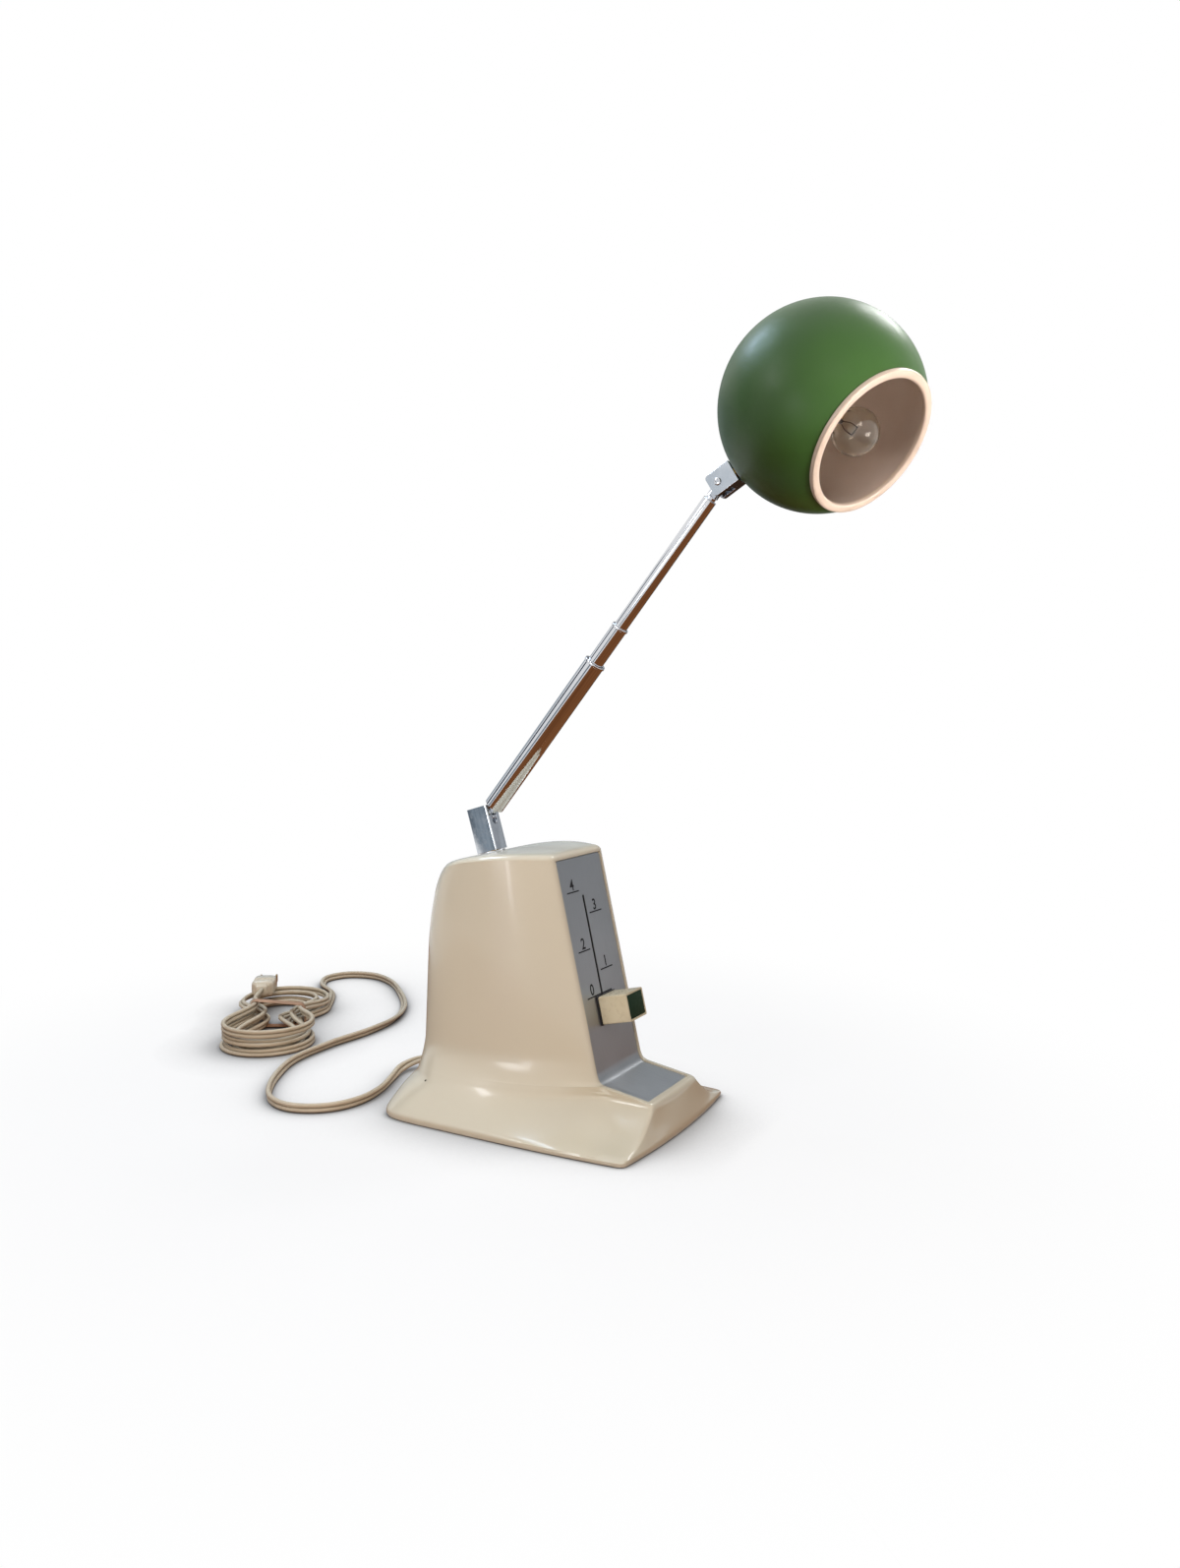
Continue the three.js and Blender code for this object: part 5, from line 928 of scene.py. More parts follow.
def makeMarks():
    parts = []
    for number, (height, left, right, middle) in zip("43210", marks["fromTop"]):
        size = (right - left, marks["raise"], marks["line"])
        parts.append(block(size, ((left + right) / 2, -marks["raise"] / 2, height)))
        parts.append(printedNumber(number, middle, height + marks["lift"]))
    finishPiece("panelMarks", united(*parts), printBlack, "base", "black", panelPlace)


makeFrontPanel()
makeMarks()
print("stage: front panel")


# knob, its inset and the guard behind it

knob = {
    "width": 22.0, "height": 17.2, "depth": 19.4, "rest": 33.6, "border": 1.2, "back": -1.4,
    "insetThickness": 0.9, "guardRim": 0.5, "guardThickness": 0.8, "stem": (1.4, 4.6), "stemIn": 10.3,
    "corner": 1.1,
}


# A block in the panel's frame, from front to back, level with the knob's middle.
def knobBlock(width, height, front, back, bevel=None, steps=3, x=0):
    return block((width, back - front, height), (x, (front + back) / 2, knob["rest"]), bevel, steps)


def stemSlot(front, back):
    return knobBlock(*knob["stem"], front, back, x=panel["slotX"])


def makeKnob():
    front, inset, rim = knob["back"] - knob["depth"], knob["insetThickness"], 2 * knob["guardRim"]
    body = knobBlock(knob["width"], knob["height"], front, knob["back"])
    corneredAlong(body, 1, knob["corner"])
    wide, high = knob["width"] - 2 * knob["border"], knob["height"] - 2 * knob["border"]
    pocket = knobBlock(wide, high, front - inset - clearance, front + inset + clearance)
    shape = carved(body, [pocket, stemSlot(knob["back"] - knob["stemIn"], 0)])
    finishPiece("sliderKnob", shape, knobCream, "slider", "cream", panelPlace, ["slider_knob"],
                edge=(0.35, 3))
    face = knobBlock(wide - 2 * clearance, high - 2 * clearance, front, front + inset, 0.25)
    finishPiece("knobInset", face, insetGreen, "slider", "inset_green", panelPlace, ["knob_inset"])
    guard = knobBlock(knob["width"] + rim, knob["height"] + rim, -clearance - knob["guardThickness"],
                      -clearance, 0.15, 2)
    finishPiece("sliderGuard", carved(guard, [stemSlot(knob["back"], 0)]), blackPlastic, "slider", "black",
                panelPlace, ["slider_guard"])


makeKnob()
print("stage: knob")


# lower bracket, its washer and the arm's three tubes

lower = {
    "width": 13.3, "length": 15.5, "height": 29.5, "corner": 0.8, "slot": 5.4, "slotRound": 19.1,
    "pivotY": -2.55, "pivotUp": 22.8, "eye": 4.2, "pin": 1.5, "washer": 8.6, "washerHole": 5.05,
    "studRoom": 8, "leadHole": 2.5,
}
lowerPivot = pointIn(bracketPlace, 0, lower["pivotY"], lower["pivotUp"])


def makeLowerBracket():
    body = block((lower["width"], lower["length"], lower["height"]), (0, 0, lower["height"] / 2))
    corneredAlong(body, 2, lower["corner"])
    front, back = -lower["length"] / 2 - 1, lower["pivotY"] + lower["eye"] + clearance
    low, top = lower["slotRound"], lower["height"] + 1
    tools = [
        block((lower["slot"], back - front, top - low), (0, (front + back) / 2, (top + low) / 2)),
        rod(lower["slot"] / 2, front, back, 32, at(0, 0, low) @ alongY),
        rod(seat["stud"] + clearance, -1, lower["studRoom"], 40), rod(lower["leadHole"], 0, low, 24),
    ]
    finishPiece("lowerBracket", carved(body, tools), bracketChrome, "bracket", "chrome", bracketPlace,
                ["lower_bracket"], edge=(0.3, 3))
    hole, rim, under = lower["washerHole"], lower["washer"], -clearance - seat["washer"]
    washer = turned(rounded([(hole, under, 0.1), (rim, under, 0.3), (rim, -clearance, 0.5),
                             (hole, -clearance, 0.1)]), 96)
    finishPiece("swivelWasher", washer, chrome, "bracket", "chrome", bracketPlace, ["swivel_washer"])


armLean = 51.3 - 90  # degrees above level, less a right angle
armPlace = leanFrame(lowerPivot.y, lowerPivot.z, armLean)
tubes = {  # each tube's radius, lower and upper end, and mouth
    "outer": (6.5, 9.0, 127.1, 5.3), "middle": (5.0, 41.1, 154.5, 4.5), "inner": (4.2, 136.5, 246.1),
    "wall": 0.5, "collar": 1.5, "step": 0.45, "plug": 5.5, "steps": 96,
}
neck = {
    "radius": 2.9, "clear": 8.9, "tongue": 4.8, "tongueWidth": 5.4, "tip": 257.6, "plug": 8.0, "core": 3.4,
}


# A tube with a rolled collar round its mouth, or a plain end.
def makeTube(name, node, body, outer, start, end, mouth=None):
    bore = outer - tubes["wall"]
    outline = [(bore, start, 0.1), (outer, start, 0.2)]
    if mouth is None:
        outline += [(outer, end, 0.2), (bore, end, 0.1)]
    else:
        rim, low = outer + tubes["step"], end - tubes["collar"]
        outline += [(outer, low, 0.12), (rim, low + 0.05, 0.45), (rim, end, 0.45), (mouth, end, 0.2),
                    (mouth, low, 0.1), (bore, low - 0.2, 0.1)]
    finishPiece(name, turned(rounded(outline, steps=5), tubes["steps"]), tubeChrome, body, "chrome", armPlace,
                [node])


# The flat tongue with its eye at one height, and its root running off to another.
def tongue(eyeHeight, rootHeight):
    low, high = sorted((eyeHeight, rootHeight))
    across = at(0, 0, eyeHeight) @ acrossX
    eye = rod(lower["eye"], -neck["tongue"] / 2, neck["tongue"] / 2, 48, across)
    root = block((neck["tongue"], neck["tongueWidth"], high - low), (0, 0, (low + high) / 2))
    hole = rod(lower["pin"] + clearance, -4, 4, 32, across)
    return carved(carved(eye, [root], "UNION"), [hole])


def makeArm():
    for part in ("outer", "middle", "inner"):
        makeTube(part + "Tube", part + "_tube", part + "_arm", *tubes[part])
    outer, start = tubes["outer"][:2]
    plug = rod(outer - tubes["wall"] - clearance, start + clearance, start + tubes["plug"], 48)
    foot = carved(tongue(0, start + 1), [plug], "UNION")
    finishPiece("armFoot", foot, chrome, "outer_arm", "chrome", armPlace, ["arm_foot"], edge=(0.3, 3))
    root, end = neck["tip"] - neck["clear"], tubes["inner"][2] + clearance
    low = end - clearance - neck["plug"]
    core = turned(rounded([(0, low, 0), (neck["core"], low, 0.3), (neck["core"], end, 0.4),
                           (neck["radius"], end, 0.2), (neck["radius"], root, 0.9), (0, root, 0)],
                          closed=False), 64)
    head = carved(tongue(neck["tip"], root - 0.8), [core], "UNION")
    finishPiece("armHead", head, chrome, "inner_arm", "chrome", armPlace, ["arm_head"], edge=(0.25, 3))


makeLowerBracket()
makeArm()
print("stage: arm")


# upper bracket and its rivet

upperPivot = pointIn(armPlace, 0, 0, neck["tip"])
upperPlace = leanFrame(upperPivot.y, upperPivot.z, 32 - 90)  # as for the arm
upper = {
    "halfHeight": 6.7, "behind": 5.7, "ahead": 10.9, "corner": 2.5, "toBall": 68.2, "stud": 3.3,
    "leadHole": 1.6, "rivet": 2.2, "rivetHead": 0.6, "rivetHole": 1.5,
    "rivetFace": ((0.0, 0.45), (0.75, 0.4), (1.0, 0.08), (1.35, 0.0), (1.75, 0.06), (2.05, 0.25)),
}


def makeUpperBracket():
    half, behind, ahead = upper["halfHeight"], upper["behind"], upper["ahead"]
    profile = rounded([(-half, ahead, 0), (half, ahead, 0), (half, -behind, upper["corner"]),
                       (-half, -behind, upper["corner"])], steps=8)
    body = crossPlate(profile, lower["width"])
    room = lower["eye"] + clearance
    slot = block((lower["slot"], half + 1 + room, behind + 1 + room),
                 (0, (room - half - 1) / 2, (room - behind - 1) / 2))
    holes = [rod(upper["stud"], room + 1, ahead + 1, 40), rod(upper["leadHole"], 0, ahead, 20)]
    finishPiece("upperBracket", carved(body, [slot, *holes]), bracketChrome, "head_bracket", "chrome",
                upperPlace, ["upper_bracket"], edge=(0.35, 3))
    inside = lower["width"] / 2 + clearance
    outside = inside + upper["rivetHead"]
    head = [(radius, outside - under) for radius, under in upper["rivetFace"]]
    head += [(upper["rivet"], inside + 0.1), (upper["rivet"], inside), (upper["rivetHole"], inside)]
    rivet = turned(head + [(radius, -height) for radius, height in head[::-1]], 48, closed=False)
    finishPiece("upperRivet", shifted(rivet, acrossX), chrome, "head_bracket", "steel", upperPlace,
                ["upper_rivet"])


makeUpperBracket()


# shade: painted ball, liner and rim, all about the line towards the middle of the mouth

ball = {
    "radius": 56.6, "wall": 1.0, "linerWall": 0.9, "linerHole": 9.5, "mouth": 40.8, "rimWidth": 5.0,
    "rimDepth": 3.2, "mouthTurn": -18.96, "mouthRise": -35.33, "steps": 128, "rows": 56,
    "rimSteps": 14, "rimPower": 2.8, "rimLow": 0.42,
}


def findShadePlace():
    turn, rise = math.radians(ball["mouthTurn"]), math.radians(ball["mouthRise"])
    mouthWay = Vector((math.sin(turn) * math.cos(rise), -math.cos(turn) * math.cos(rise), math.sin(rise)))
    studWay = -(upperPlace.to_3x3() @ Vector((0, 0, 1)))
    across = (studWay - mouthWay * studWay.dot(mouthWay)).normalized()
    axes = Matrix((across, mouthWay.cross(across), mouthWay)).transposed().to_4x4()
    return at(*pointIn(upperPlace, 0, 0, upper["toBall"])) @ axes, studWay.angle(mouthWay)


shadePlace, studAngle = findShadePlace()
towardsStud = Matrix.Rotation(studAngle, 4, "Y")
mouthHeight = math.sqrt(ball["radius"] ** 2 - ball["mouth"] ** 2)


# A ball's skin of two radii, open above a height.
def bowl(outer, inner, height):
    def arc(radius):
        low, rows = math.acos(height / radius), ball["rows"]
        angles = [between(math.pi, low, i / rows) for i in range(rows + 1)]
        return [(radius * math.sin(a) if i else 0.0, radius * math.cos(a)) for i, a in enumerate(angles)]

    return turned(arc(outer) + arc(inner)[::-1], ball["steps"], closed=False)


def makeShade():
    radius, wide, power = ball["radius"], ball["rimWidth"], ball["rimPower"]
    inside, past = radius - ball["wall"], radius + 1
    shells = (
        ("shadeShell", "shade_shell", shadeGreen, "shade_green", radius, ball["wall"], 0,
         (upper["stud"], radius - 5, past, 32)),
        ("shadeLiner", "shade_liner", linerCream, "cream", inside - clearance, ball["linerWall"], clearance,
         (ball["linerHole"], radius / 2, past, 48)),
    )
    for name, node, look, slot, outer, wall, lowered, hole in shells:
        shape = carved(bowl(outer, outer - wall, mouthHeight - lowered), [rod(*hole, towardsStud)])
        finishPiece(name, shape, look, "shade", slot, shadePlace, [node], normals=False)
    under = mouthHeight + clearance
    outline = [(ball["mouth"] - wide + clearance, under), (ball["mouth"] - clearance / 2, under)]
    for k in range(ball["rimSteps"] + 1):
        share = k / ball["rimSteps"]
        up = between(ball["rimLow"], 1, (1 - abs(2 * share - 1) ** power) ** (1 / power))
        outline.append((ball["mouth"] - wide * share, mouthHeight + ball["rimDepth"] * up))
    finishPiece("shadeRim", turned(outline, ball["steps"]), rimCream, "shade", "cream", shadePlace,
                ["shade_rim"])


makeShade()
print("stage: shade")


# lamp holder and bulb

bulb = {
    "socket": 9.6, "socketLow": -15.5, "socketHigh": 9.0, "bore": 7.9, "boreLow": -10.3, "screwHole": 1.9,
    "base": 7.6, "baseLow": -9.0, "baseHigh": 11.0, "threads": 6, "thread": 2.1, "threadDepth": 0.7,
    "neck": 6.6, "glassLow": 11.3, "globe": 13.0, "height": 28.0, "glass": 0.7,
    "stem": 3.2, "stemNeck": 1.3, "stemTop": 16.8, "wire": 0.3, "spread": 2.4,
    "coil": 0.45, "coilTurns": 9, "coilSteps": 14, "coilWire": 0.1,
}


def globeOutline(radius, narrow):
    start = math.pi - math.asin(narrow / radius)
    low = bulb["height"] + radius * math.cos(start)
    arc = [between(start, 0, k / 30) for k in range(31)]
    points = [(radius * math.sin(a) if a else 0.0, bulb["height"] + radius * math.cos(a)) for a in arc[3:]]
    bend = [bendPoint(k / 8, Vector((narrow, low - 2.4)), Vector((narrow, low + 0.4)), Vector(points[0]))
            for k in range(8)]
    return [(narrow, bulb["glassLow"])] + [tuple(point) for point in bend] + points


def tubeAlong(line, radius, sides=10):
    return sweptTube(line, ellipse(radius, radius, sides), lambda along: 0.0)


def makeSocket():
    low, high, bore, floor = bulb["socketLow"], bulb["socketHigh"], bulb["bore"], bulb["boreLow"]
    body = turned(rounded([(0, low, 0), (8.2, low, 0.8), (bulb["socket"], low + 2.5, 1.2),
                           (bulb["socket"], high, 0.8), (bore, high, 0.4), (bore, floor, 0.3), (0, floor, 0)],
                          closed=False), 64)
    socket = carved(body, [rod(bulb["screwHole"], low - 1, -12.2, 20)])
    finishPiece("bulbSocket", socket, porcelain, "shade", "porcelain", shadePlace, ["bulb_socket"])


def makeBulbBase():
    low, top, radius = bulb["baseLow"], bulb["baseHigh"], bulb["base"]
    outline = [(0, low, 0), (3.4, low, 0.4), (6.9, low + 2.2, 0.6)]
    for k in range(bulb["threads"]):
        height = low + 3.0 + bulb["thread"] * k
        outline += [(radius - bulb["threadDepth"], height, 0.5), (radius, height + bulb["thread"] / 2, 0.5)]
    outline += [(radius - 0.5, top - 3.4, 0.5), (radius - 0.2, top, 0.3), (0, top, 0)]
    finishPiece("bulbBase", turned(rounded(outline, closed=False), 64), brass, "shade", "brass", shadePlace,
                ["bulb_base"])


def makeGlass():
    outer = globeOutline(bulb["globe"], bulb["neck"])
    inner = globeOutline(bulb["globe"] - bulb["glass"], bulb["neck"] - bulb["glass"])
    finishPiece("bulbGlass", turned(outer + inner[::-1], 72), clearGlass, "shade", "glass", shadePlace,
                ["bulb_glass"])


def makeFilament():
    low, narrow, stemTop, spread = bulb["glassLow"] + 0.1, bulb["stemNeck"], bulb["stemTop"], bulb["spread"]
    parts = [turned(rounded([(0, low, 0), (bulb["stem"], low, 0.5), (narrow, stemTop - 1.2, 1.5),
                             (narrow, stemTop, 0.6), (0, stemTop, 0)], closed=False), 32)]
    top = bulb["height"] - 0.5
    for side in (-1, 1):
        corners = ((0.8, stemTop - 1.5), (1.0, stemTop + 1), (spread, stemTop + 5), (spread, top))
        line = [Vector((side * x, 0, z)) for x, z in corners]
        parts.append(tubeAlong(smoothLine(line, 0.8), bulb["wire"]))
    coil = []
    count = bulb["coilSteps"] * bulb["coilTurns"]
    for k in range(count + 1):
        angle = fullTurn * k / bulb["coilSteps"]
        coil.append(Vector((between(-1, 1, k / count) * spread, bulb["coil"] * math.cos(angle),
                            top + bulb["coil"] * math.sin(angle))))
    parts.append(tubeAlong(coil, bulb["coilWire"], 5))
    finishPiece("bulbFilament", united(*parts), wire, "shade", "steel", shadePlace, ["bulb_filament"])


makeSocket()
makeBulbBase()
makeGlass()
makeFilament()
print("stage: bulb")


# strain relief, where the cord leaves the base

relief = {
    "inside": 9.0, "radius": 4.2, "tip": 3.5, "collar": 5.4, "collarStart": 8.0, "collarEnd": 5.0,
    "past": 1.5, "ribs": 5, "groove": 0.75, "ribStart": 0.8,
}


def makeStrainRelief():
    radius, collar = relief["radius"], relief["collar"]
    wallY = reliefExit - cordExit["outside"]
    start, tip = wallY - relief["inside"], reliefExit + relief["past"]
    low, high, ribs = wallY - relief["collarStart"], wallY - relief["collarEnd"], wallY + relief["ribStart"]
    outline = [(0, start, 0), (radius, start, 0.4), (radius, low, 0.1), (collar, low, 0.4),
               (collar, high, 0.4), (radius, high, 0.1), (radius, ribs, 0.2)]
    pitch = (tip - wallY - 2 * relief["ribStart"]) / relief["ribs"]
    for k in range(relief["ribs"]):
        crest = between(radius, relief["tip"], (k + 0.5) / relief["ribs"])
        valley = crest - relief["groove"]
        outline += [(size, ribs + pitch * (k + share), rounding) for size, share, rounding in (
            (valley, 0.2, 0.25), (valley, 0.4, 0.25), (crest, 0.6, 0.35), (crest, 1, 0.35))]
    outline += [(relief["tip"] - 0.1, tip, 0.5), (0, tip, 0)]
    place = at(cordExit["x"], 0, cordExit["z"]) @ alongY
    finishPiece("strainRelief", turned(rounded(outline, closed=False), 48), cordVinyl, "base", "cord", place,
                ["strain_relief"])


makeStrainRelief()


# plug on the cord's end

plug = {
    "length": 27.0, "power": 4.5, "points": 48, "blade": (6.3, 1.5, 16.0), "bladeIn": 8.0, "bladeSide": 6.35,
    "hole": 1.6, "holeFromTip": 3.6,
    "rings": ((-0.7, 3.3, 4.1), (-0.2, 3.9, 4.7), (0.9, 4.1, 5.0), (1.3, 3.7, 4.5), (1.9, 3.7, 4.5),
              (2.3, 4.6, 5.9), (3.3, 4.7, 6.1), (3.7, 4.2, 5.6), (4.2, 4.2, 5.6), (4.6, 5.3, 7.1),
              (5.6, 6.0, 8.0), (7.0, 6.4, 8.7), (8.6, 6.5, 9.0), (9.4, 6.5, 9.0), (9.9, 5.7, 8.7),
              (10.9, 5.7, 8.7), (11.4, 6.4, 9.0), (12.4, 6.4, 9.0), (12.9, 5.7, 8.7), (13.9, 5.7, 8.7),
              (14.4, 6.4, 9.0), (15.4, 6.4, 9.0), (15.9, 5.7, 8.7), (16.9, 5.7, 8.7), (17.4, 6.5, 9.0),
              (18.6, 6.5, 9.0), (25.4, 6.5, 9.0), (26.2, 6.3, 8.8), (26.8, 5.9, 8.4), (27.0, 5.3, 7.8)),
}
plugPlace = hankPlace @ at(*(plugSeat + Vector((2 * cord["tubeRadius"] + clearance, 0, 0)))) @ acrossX


# A ring across the plug, between an ellipse and a rectangle.
def plugRing(z, halfHeight, halfWidth):
    ring = []
    for c, s in ellipse(1, 1, plug["points"]):
        grow = (abs(c) ** plug["power"] + abs(s) ** plug["power"]) ** (-1 / plug["power"])
        ring.append(Vector((halfHeight * c * grow, halfWidth * s * grow, z)))
    return ring


def makePlug():
    wide, thick, out = plug["blade"]
    sides = (-plug["bladeSide"], plug["bladeSide"])
    body = lofted([plugRing(*values) for values in plug["rings"]])
    pocket = (wide + 2 * clearance, thick + 2 * clearance, 2 * plug["bladeIn"])
    pockets = [block(pocket, (0, y, plug["length"])) for y in sides]
    pieces = [finishPiece("plugBody", carved(body, pockets), plugCream, "base", "cream", plugPlace,
                          ["plug_body"], sharp=50)]
    length, tip = out + plug["bladeIn"] - clearance, plug["length"] + out
    for index, y in enumerate(sides, 1):
        blade = block((wide, thick, length), (0, y, tip - length / 2), 0.45)
        hole = rod(plug["hole"], -12, 12, 24, at(0, 0, tip - plug["holeFromTip"]) @ alongY)
        pieces.append(finishPiece(f"plugBlade{index}", carved(blade, [hole]), brass, "base", "brass",
                                  plugPlace, [f"plug_blade_{index}"]))
    return pieces


cordPieces = makePlug()


# rubber band wound three times round the hank's waist

band = {
    "turns": 3, "width": 2.1, "thickness": 0.45, "clear": 0.12, "spread": 2.6, "sway": 0.5, "swayStart": 0.6,
    "steps": 64, "reach": 6.0, "twist": 0.12, "sides": 12,
}


# The two strands of the cord at each of its points.
def strandSpots():
    spots = []
    for point, _, _, across, _ in framesAlong(cordRest, cordLean):
        spots += [point + across * cord["strandSpread"], point - across * cord["strandSpread"]]
    return spots


# The line that the band takes round the strands at the waist, as the hull of circles round them.
def bandLine():
    toHank = hankPlace.inverted()
    near = [toHank @ spot for spot in strandSpots()]
    near = [spot for spot in near if abs(spot.x) < band["reach"] and abs(spot.y) < 2 * hank["fold"]]
    reach = cord["strandRadius"] + band["thickness"] + band["clear"]
    cloud = [(spot.y + y, spot.z + z) for spot in near for y, z in ellipse(reach, reach, 20)]
    outline = [Vector((0, *cloud[i])) for i in geometry.convex_hull_2d(cloud)]
    length = sum((b - a).length for a, b in zip(outline, outline[1:]))
    return evenLine(outline + [outline[0]], length / band["steps"])


def makeBand():
    outline = bandLine()[:-1]
    middle = sum(outline, Vector()) / len(outline)
    count = len(outline) * band["turns"]
    line = []
    for i in range(count + 1):
        phase = fullTurn * i / count
        spot = outline[i % len(outline)]
        outward = (spot - middle).normalized()
        sway = (band["spread"] * math.sin(phase + band["swayStart"])
                + band["sway"] * math.sin(band["turns"] * phase))
        line.append(spot + Vector((sway, 0, 0)) + outward * band["twist"] * (1 + math.cos(2 * phase)))
    rings, section = [], ellipse(band["width"], band["thickness"], band["sides"])
    for i, point in enumerate(line[:-1]):
        heading = (line[i + 1] - line[i - 1 if i else -2]).normalized()
        outward = (point - middle).normalized()
        side = heading.cross(outward).normalized()
        up = side.cross(heading)
        rings.append([point + side * x + up * y for x, y in section])
    return finishPiece("rubberBand", lofted(rings, looped=True), bandRubber, "base", "band", hankPlace,
                       ["cord_tie"])


cordPieces.append(makeBand())
print("stage: plug and band")


# finishes of the solids that stay as they are

carried = (
    (zinc, ("bottom_cover", "transformer_strap", "strap_screw_1", "strap_screw_2", "track_screw_1",
            "track_screw_2", "cover_screw_1", "cover_screw_2", "cover_screw_3", "cover_screw_4", "lower_pin",
            "socket_bracket", "socket_screw")),
    (brass, ("swivel_stud", "swivel_nut", "middle_guide", "inner_guide", "shade_stud", "shade_nut")),
    (blackPlastic, ("triac", "slide_track", "slider_stem", "slider_carriage")),
    (padRubber, ("base_pad",)), (coreSteel, ("transformer_core",)), (copperWire, ("transformer_winding",)),
    (phenolic, ("circuit_board",)), (brushed, ("heat_sink",)), (filmBrown, ("capacitor",)),
    (chokeWire, ("choke",)), (cordVinyl, ("mains_lead",)), (blackLead, ("lamp_lead",)),
)
for look, names in carried:
    for name in names:
        materials = bpy.data.objects[name].data.materials
        materials.clear()
        materials.append(look)
print("stage: solids dressed")


# floor and room: white to the eye and in reflections, with the object's own shadow kept on the floor and a
# painted
# # contact shadow dimming the floor's glow near the object

room = {
    "floor": "#f1f1f0", "cloud": "#eaeae9", "bounce": "#ab9080", "size": 16.0, "rough": 0.7,
    "white": "#ffffff", "clearFrom": 0.15, "clearTo": 0.5, "whiteNear": 0.78, "whiteFar": 1.0,
    "paintedShadowReach": 0.05, "paintedShadowDepth": 2.6,
    "middle": (0.0, 0.06, 0.0), "sky": "#eef1f6", "light": 0.14,
}


# One where a ray comes from the eye, a mirror or a glass.
def seenDirectly(tree):
    rays = addNode(tree, "ShaderNodeLightPath").outputs
    direct = worked(tree, "MAXIMUM", rays["Is Camera Ray"], rays["Is Glossy Ray"])
    return worked(tree, "MAXIMUM", direct, rays["Is Transmission Ray"])


# A flat square for the room, in metres.
def addSheet(name, look, size, place=Matrix()):
    bm = bmesh.new()
    bmesh.ops.create_grid(bm, x_segments=1, y_segments=1, size=size / 2)
    sheet = linked(name, meshOf(shifted(bm, place), name))
    sheet.data.materials.append(look)
    return sheet


def makeFloor():
    look, tree, shader, place = newLook("paleFloor")
    cloudy = placedGroup(tree, mottle, place, Size=3.0, Detail=4.0)
    shade = blended(tree, cloudy, colourOf(room["floor"]), colourOf(room["cloud"]))
    direct = seenDirectly(tree)
    colour = blended(tree, direct, colourOf(room["bounce"]), shade)
    feedAll(tree, shader, Roughness=room["rough"], Base_Color=colour)
    glow = addNode(tree, "ShaderNodeEmission", Color=colourOf(room["white"]))
    # painted shadow: the floor's glow dims where ambient occlusion finds the object close, a painted contact
    # shadow
    paintedShadow = addNode(tree, "ShaderNodeAmbientOcclusion", Distance=room["paintedShadowReach"])
    feedAll(tree, glow, Strength=worked(tree, "POWER", paintedShadow.outputs["AO"], room["paintedShadowDepth"]))
    away = addNode(tree, "ShaderNodeVectorMath", operation="DISTANCE")
    feed(tree, place, away.inputs[0])
    feed(tree, room["middle"], away.inputs[1])
    white = ranged(tree, away.outputs["Value"], room["clearFrom"], room["clearTo"],
                   room["whiteNear"], room["whiteFar"])
    joinedShaders(tree, worked(tree, "MULTIPLY", direct, white), shader, glow, "Material Output")
    floor = addSheet("floor", look, room["size"])


def makeWorld():
    world = bpy.data.worlds.new("room")
    world.use_nodes = True
    tree = world.node_tree
    lighting = tree.nodes["Background"]
    feedAll(tree, lighting, Color=colourOf(room["sky"]), Strength=room["light"])
    backdrop = addNode(tree, "ShaderNodeBackground", Strength=1.0, Color=colourOf(room["white"]))
    joinedShaders(tree, seenDirectly(tree), lighting, backdrop, "World Output")
    bpy.context.scene.world = world


# Cards that only polished surfaces show: middle, what each faces, width, height and two colours.
cards = {
    "tableCard": ((0.0, -0.12, 0.002), (0.0, -0.12, 1.0), 1.3, 1.3, "#6e4226", "#8f5c38"),
    "edgeCard": ((1.25, 0.1, 0.002), (1.25, 0.1, 1.0), 1.2, 2.4, "#2c2018", "#3f2d21"),
    "wallCard": ((-0.87, 0.5, 0.06), (0.0, 0.0, 0.06), 1.1, 0.2, "#33414d", "#a3afb9"),
    "farCard": ((-1.05, 0.33, 0.53), (0.0, -0.05, 0.4), 0.5, 0.36, "#dfe4e8", "#ffffff"),
    "shadeCard": ((-0.42, 1.3, 0.62), (0.0, 0.0, 0.28), 0.42, 0.9, "#22303f", "#33475c"),
    "backCard": ((1.5, 1.6, 0.35), (0.0, 0.0, 0.3), 3.6, 1.5, "#a3adb5", "#bac3ca"),
    "highCard": ((1.4, 0.45, 0.9), (0.0, -0.06, 0.02), 1.3, 0.8, "#868c91", "#9da3a8"),
    "roomCard": ((1.35, -0.85, 0.5), (0.0, 0.0, 0.3), 1.5, 0.8, "#8f9398", "#b5b9be"),
}


def facing(spot, target):
    aim = (Vector(target) - Vector(spot)).to_track_quat("Z", "Y")
    return at(*spot) @ aim.to_matrix().to_4x4()


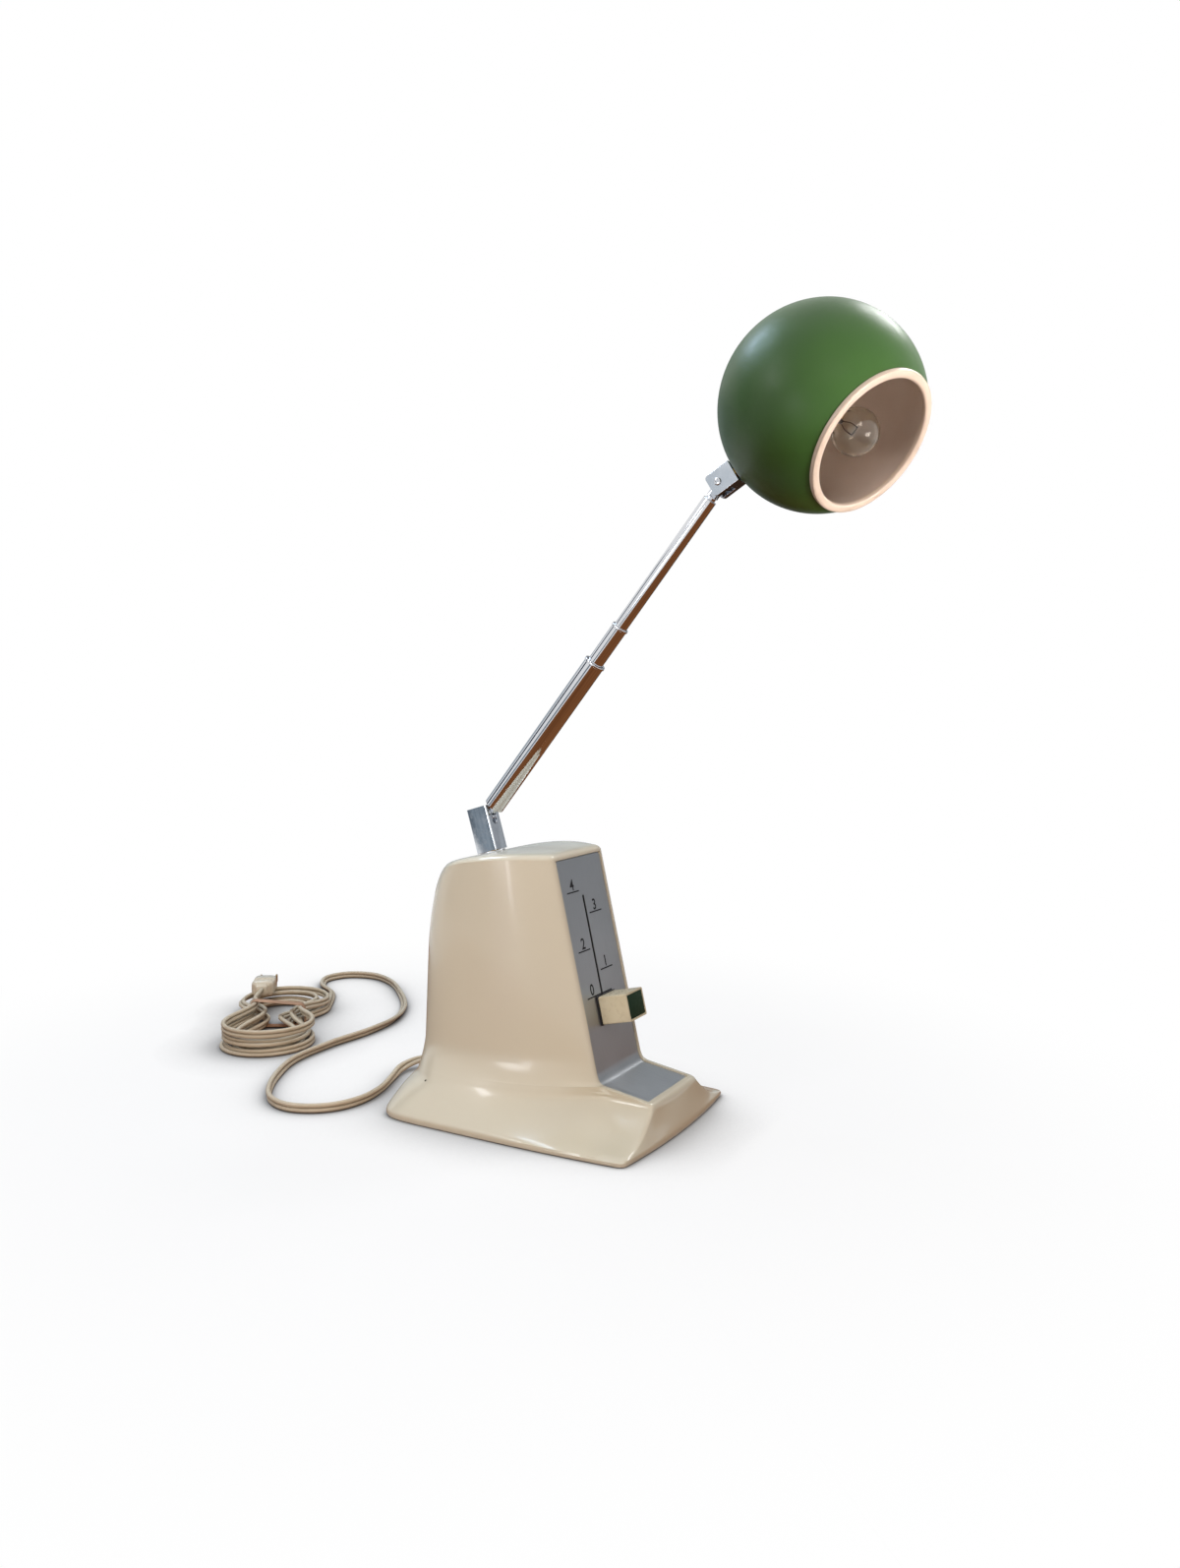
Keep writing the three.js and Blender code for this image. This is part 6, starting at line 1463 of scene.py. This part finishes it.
def addCard(name, spot, target, wide, tall, dark, pale):
    look, tree, shader, place = newLook(name)
    tree.nodes.remove(shader)
    cloudy = placedGroup(tree, mottle, place, Size=5.0, Detail=5.0)
    glow = addNode(tree, "ShaderNodeEmission", Strength=1.0,
                   Color=blended(tree, cloudy, colourOf(dark), colourOf(pale)))
    tree.links.new(glow.outputs[0], tree.nodes["Material Output"].inputs["Surface"])
    card = addSheet(name, look, 1, facing(spot, target) @ Matrix.Diagonal((wide, tall, 1, 1)))
    card.visible_camera = card.visible_diffuse = card.visible_shadow = card.visible_transmission = False


# Panels of light: middle, what each faces, width, height, power in watts, spread in degrees and colour.
lamps = {
    "camera side": ((-1.5, -1.1, 1.3), (0.0, 0.0, 0.2), 1.0, 0.8, 24.0, 180, "#fff0e6"),
    "foot window": ((-1.06, 0.58, 1.0), (0.0, 0.0, 0.1), 0.2, 0.42, 2.4, 180, "#f6f9ff"),
    "shoulder window": ((-1.3, 0.16, 0.2), (-0.045, 0.0, 0.155), 0.46, 0.3, 0.13, 30, "#f6f9ff"),
    "back window": ((0.1, 0.95, 1.62), (0.0, -0.1, 0.42), 0.6, 0.5, 10.5, 180, "#cbe4ff"),
    "right window": ((1.15, -0.36, 1.47), (0.0, -0.1, 0.42), 0.4, 0.4, 0.8, 60, "#ffffff"),
    "overhead": ((0.1, 0.1, 2.0), (0.0, 0.05, 0.1), 1.4, 1.4, 10.5, 180, "#ebf4ff"),
    "mouth fill": ((-0.07, -0.8, 0.22), (-0.03, -0.16, 0.42), 0.25, 0.2, 0.43, 34, "#f6ecea"),
}
hiddenInMirrors = ("camera side", "mouth fill", "overhead")


def addLamp(name, spot, target, wide, tall, power, spread, tint):
    data = bpy.data.lights.new(name, "AREA")
    data.shape, data.size, data.size_y = "RECTANGLE", wide, tall
    data.energy, data.spread, data.color = power, math.radians(spread), colourOf(tint)[:3]
    lamp = linked(name, data)
    lamp.matrix_world = facing(spot, target) @ Matrix.Rotation(math.pi, 4, "Y")
    lamp.visible_glossy = name not in hiddenInMirrors
    lamp.visible_camera = False


makeFloor()
makeWorld()
for name, values in cards.items():
    addCard(name, *values)
for name, values in lamps.items():
    addLamp(name, *values)
bpy.context.scene.view_settings.view_transform = "Standard"
print("stage: floor and lights")


# the start of the cord's line in metres, worked out and not used

tuple(p * 0.001 for p in leadWay[0])
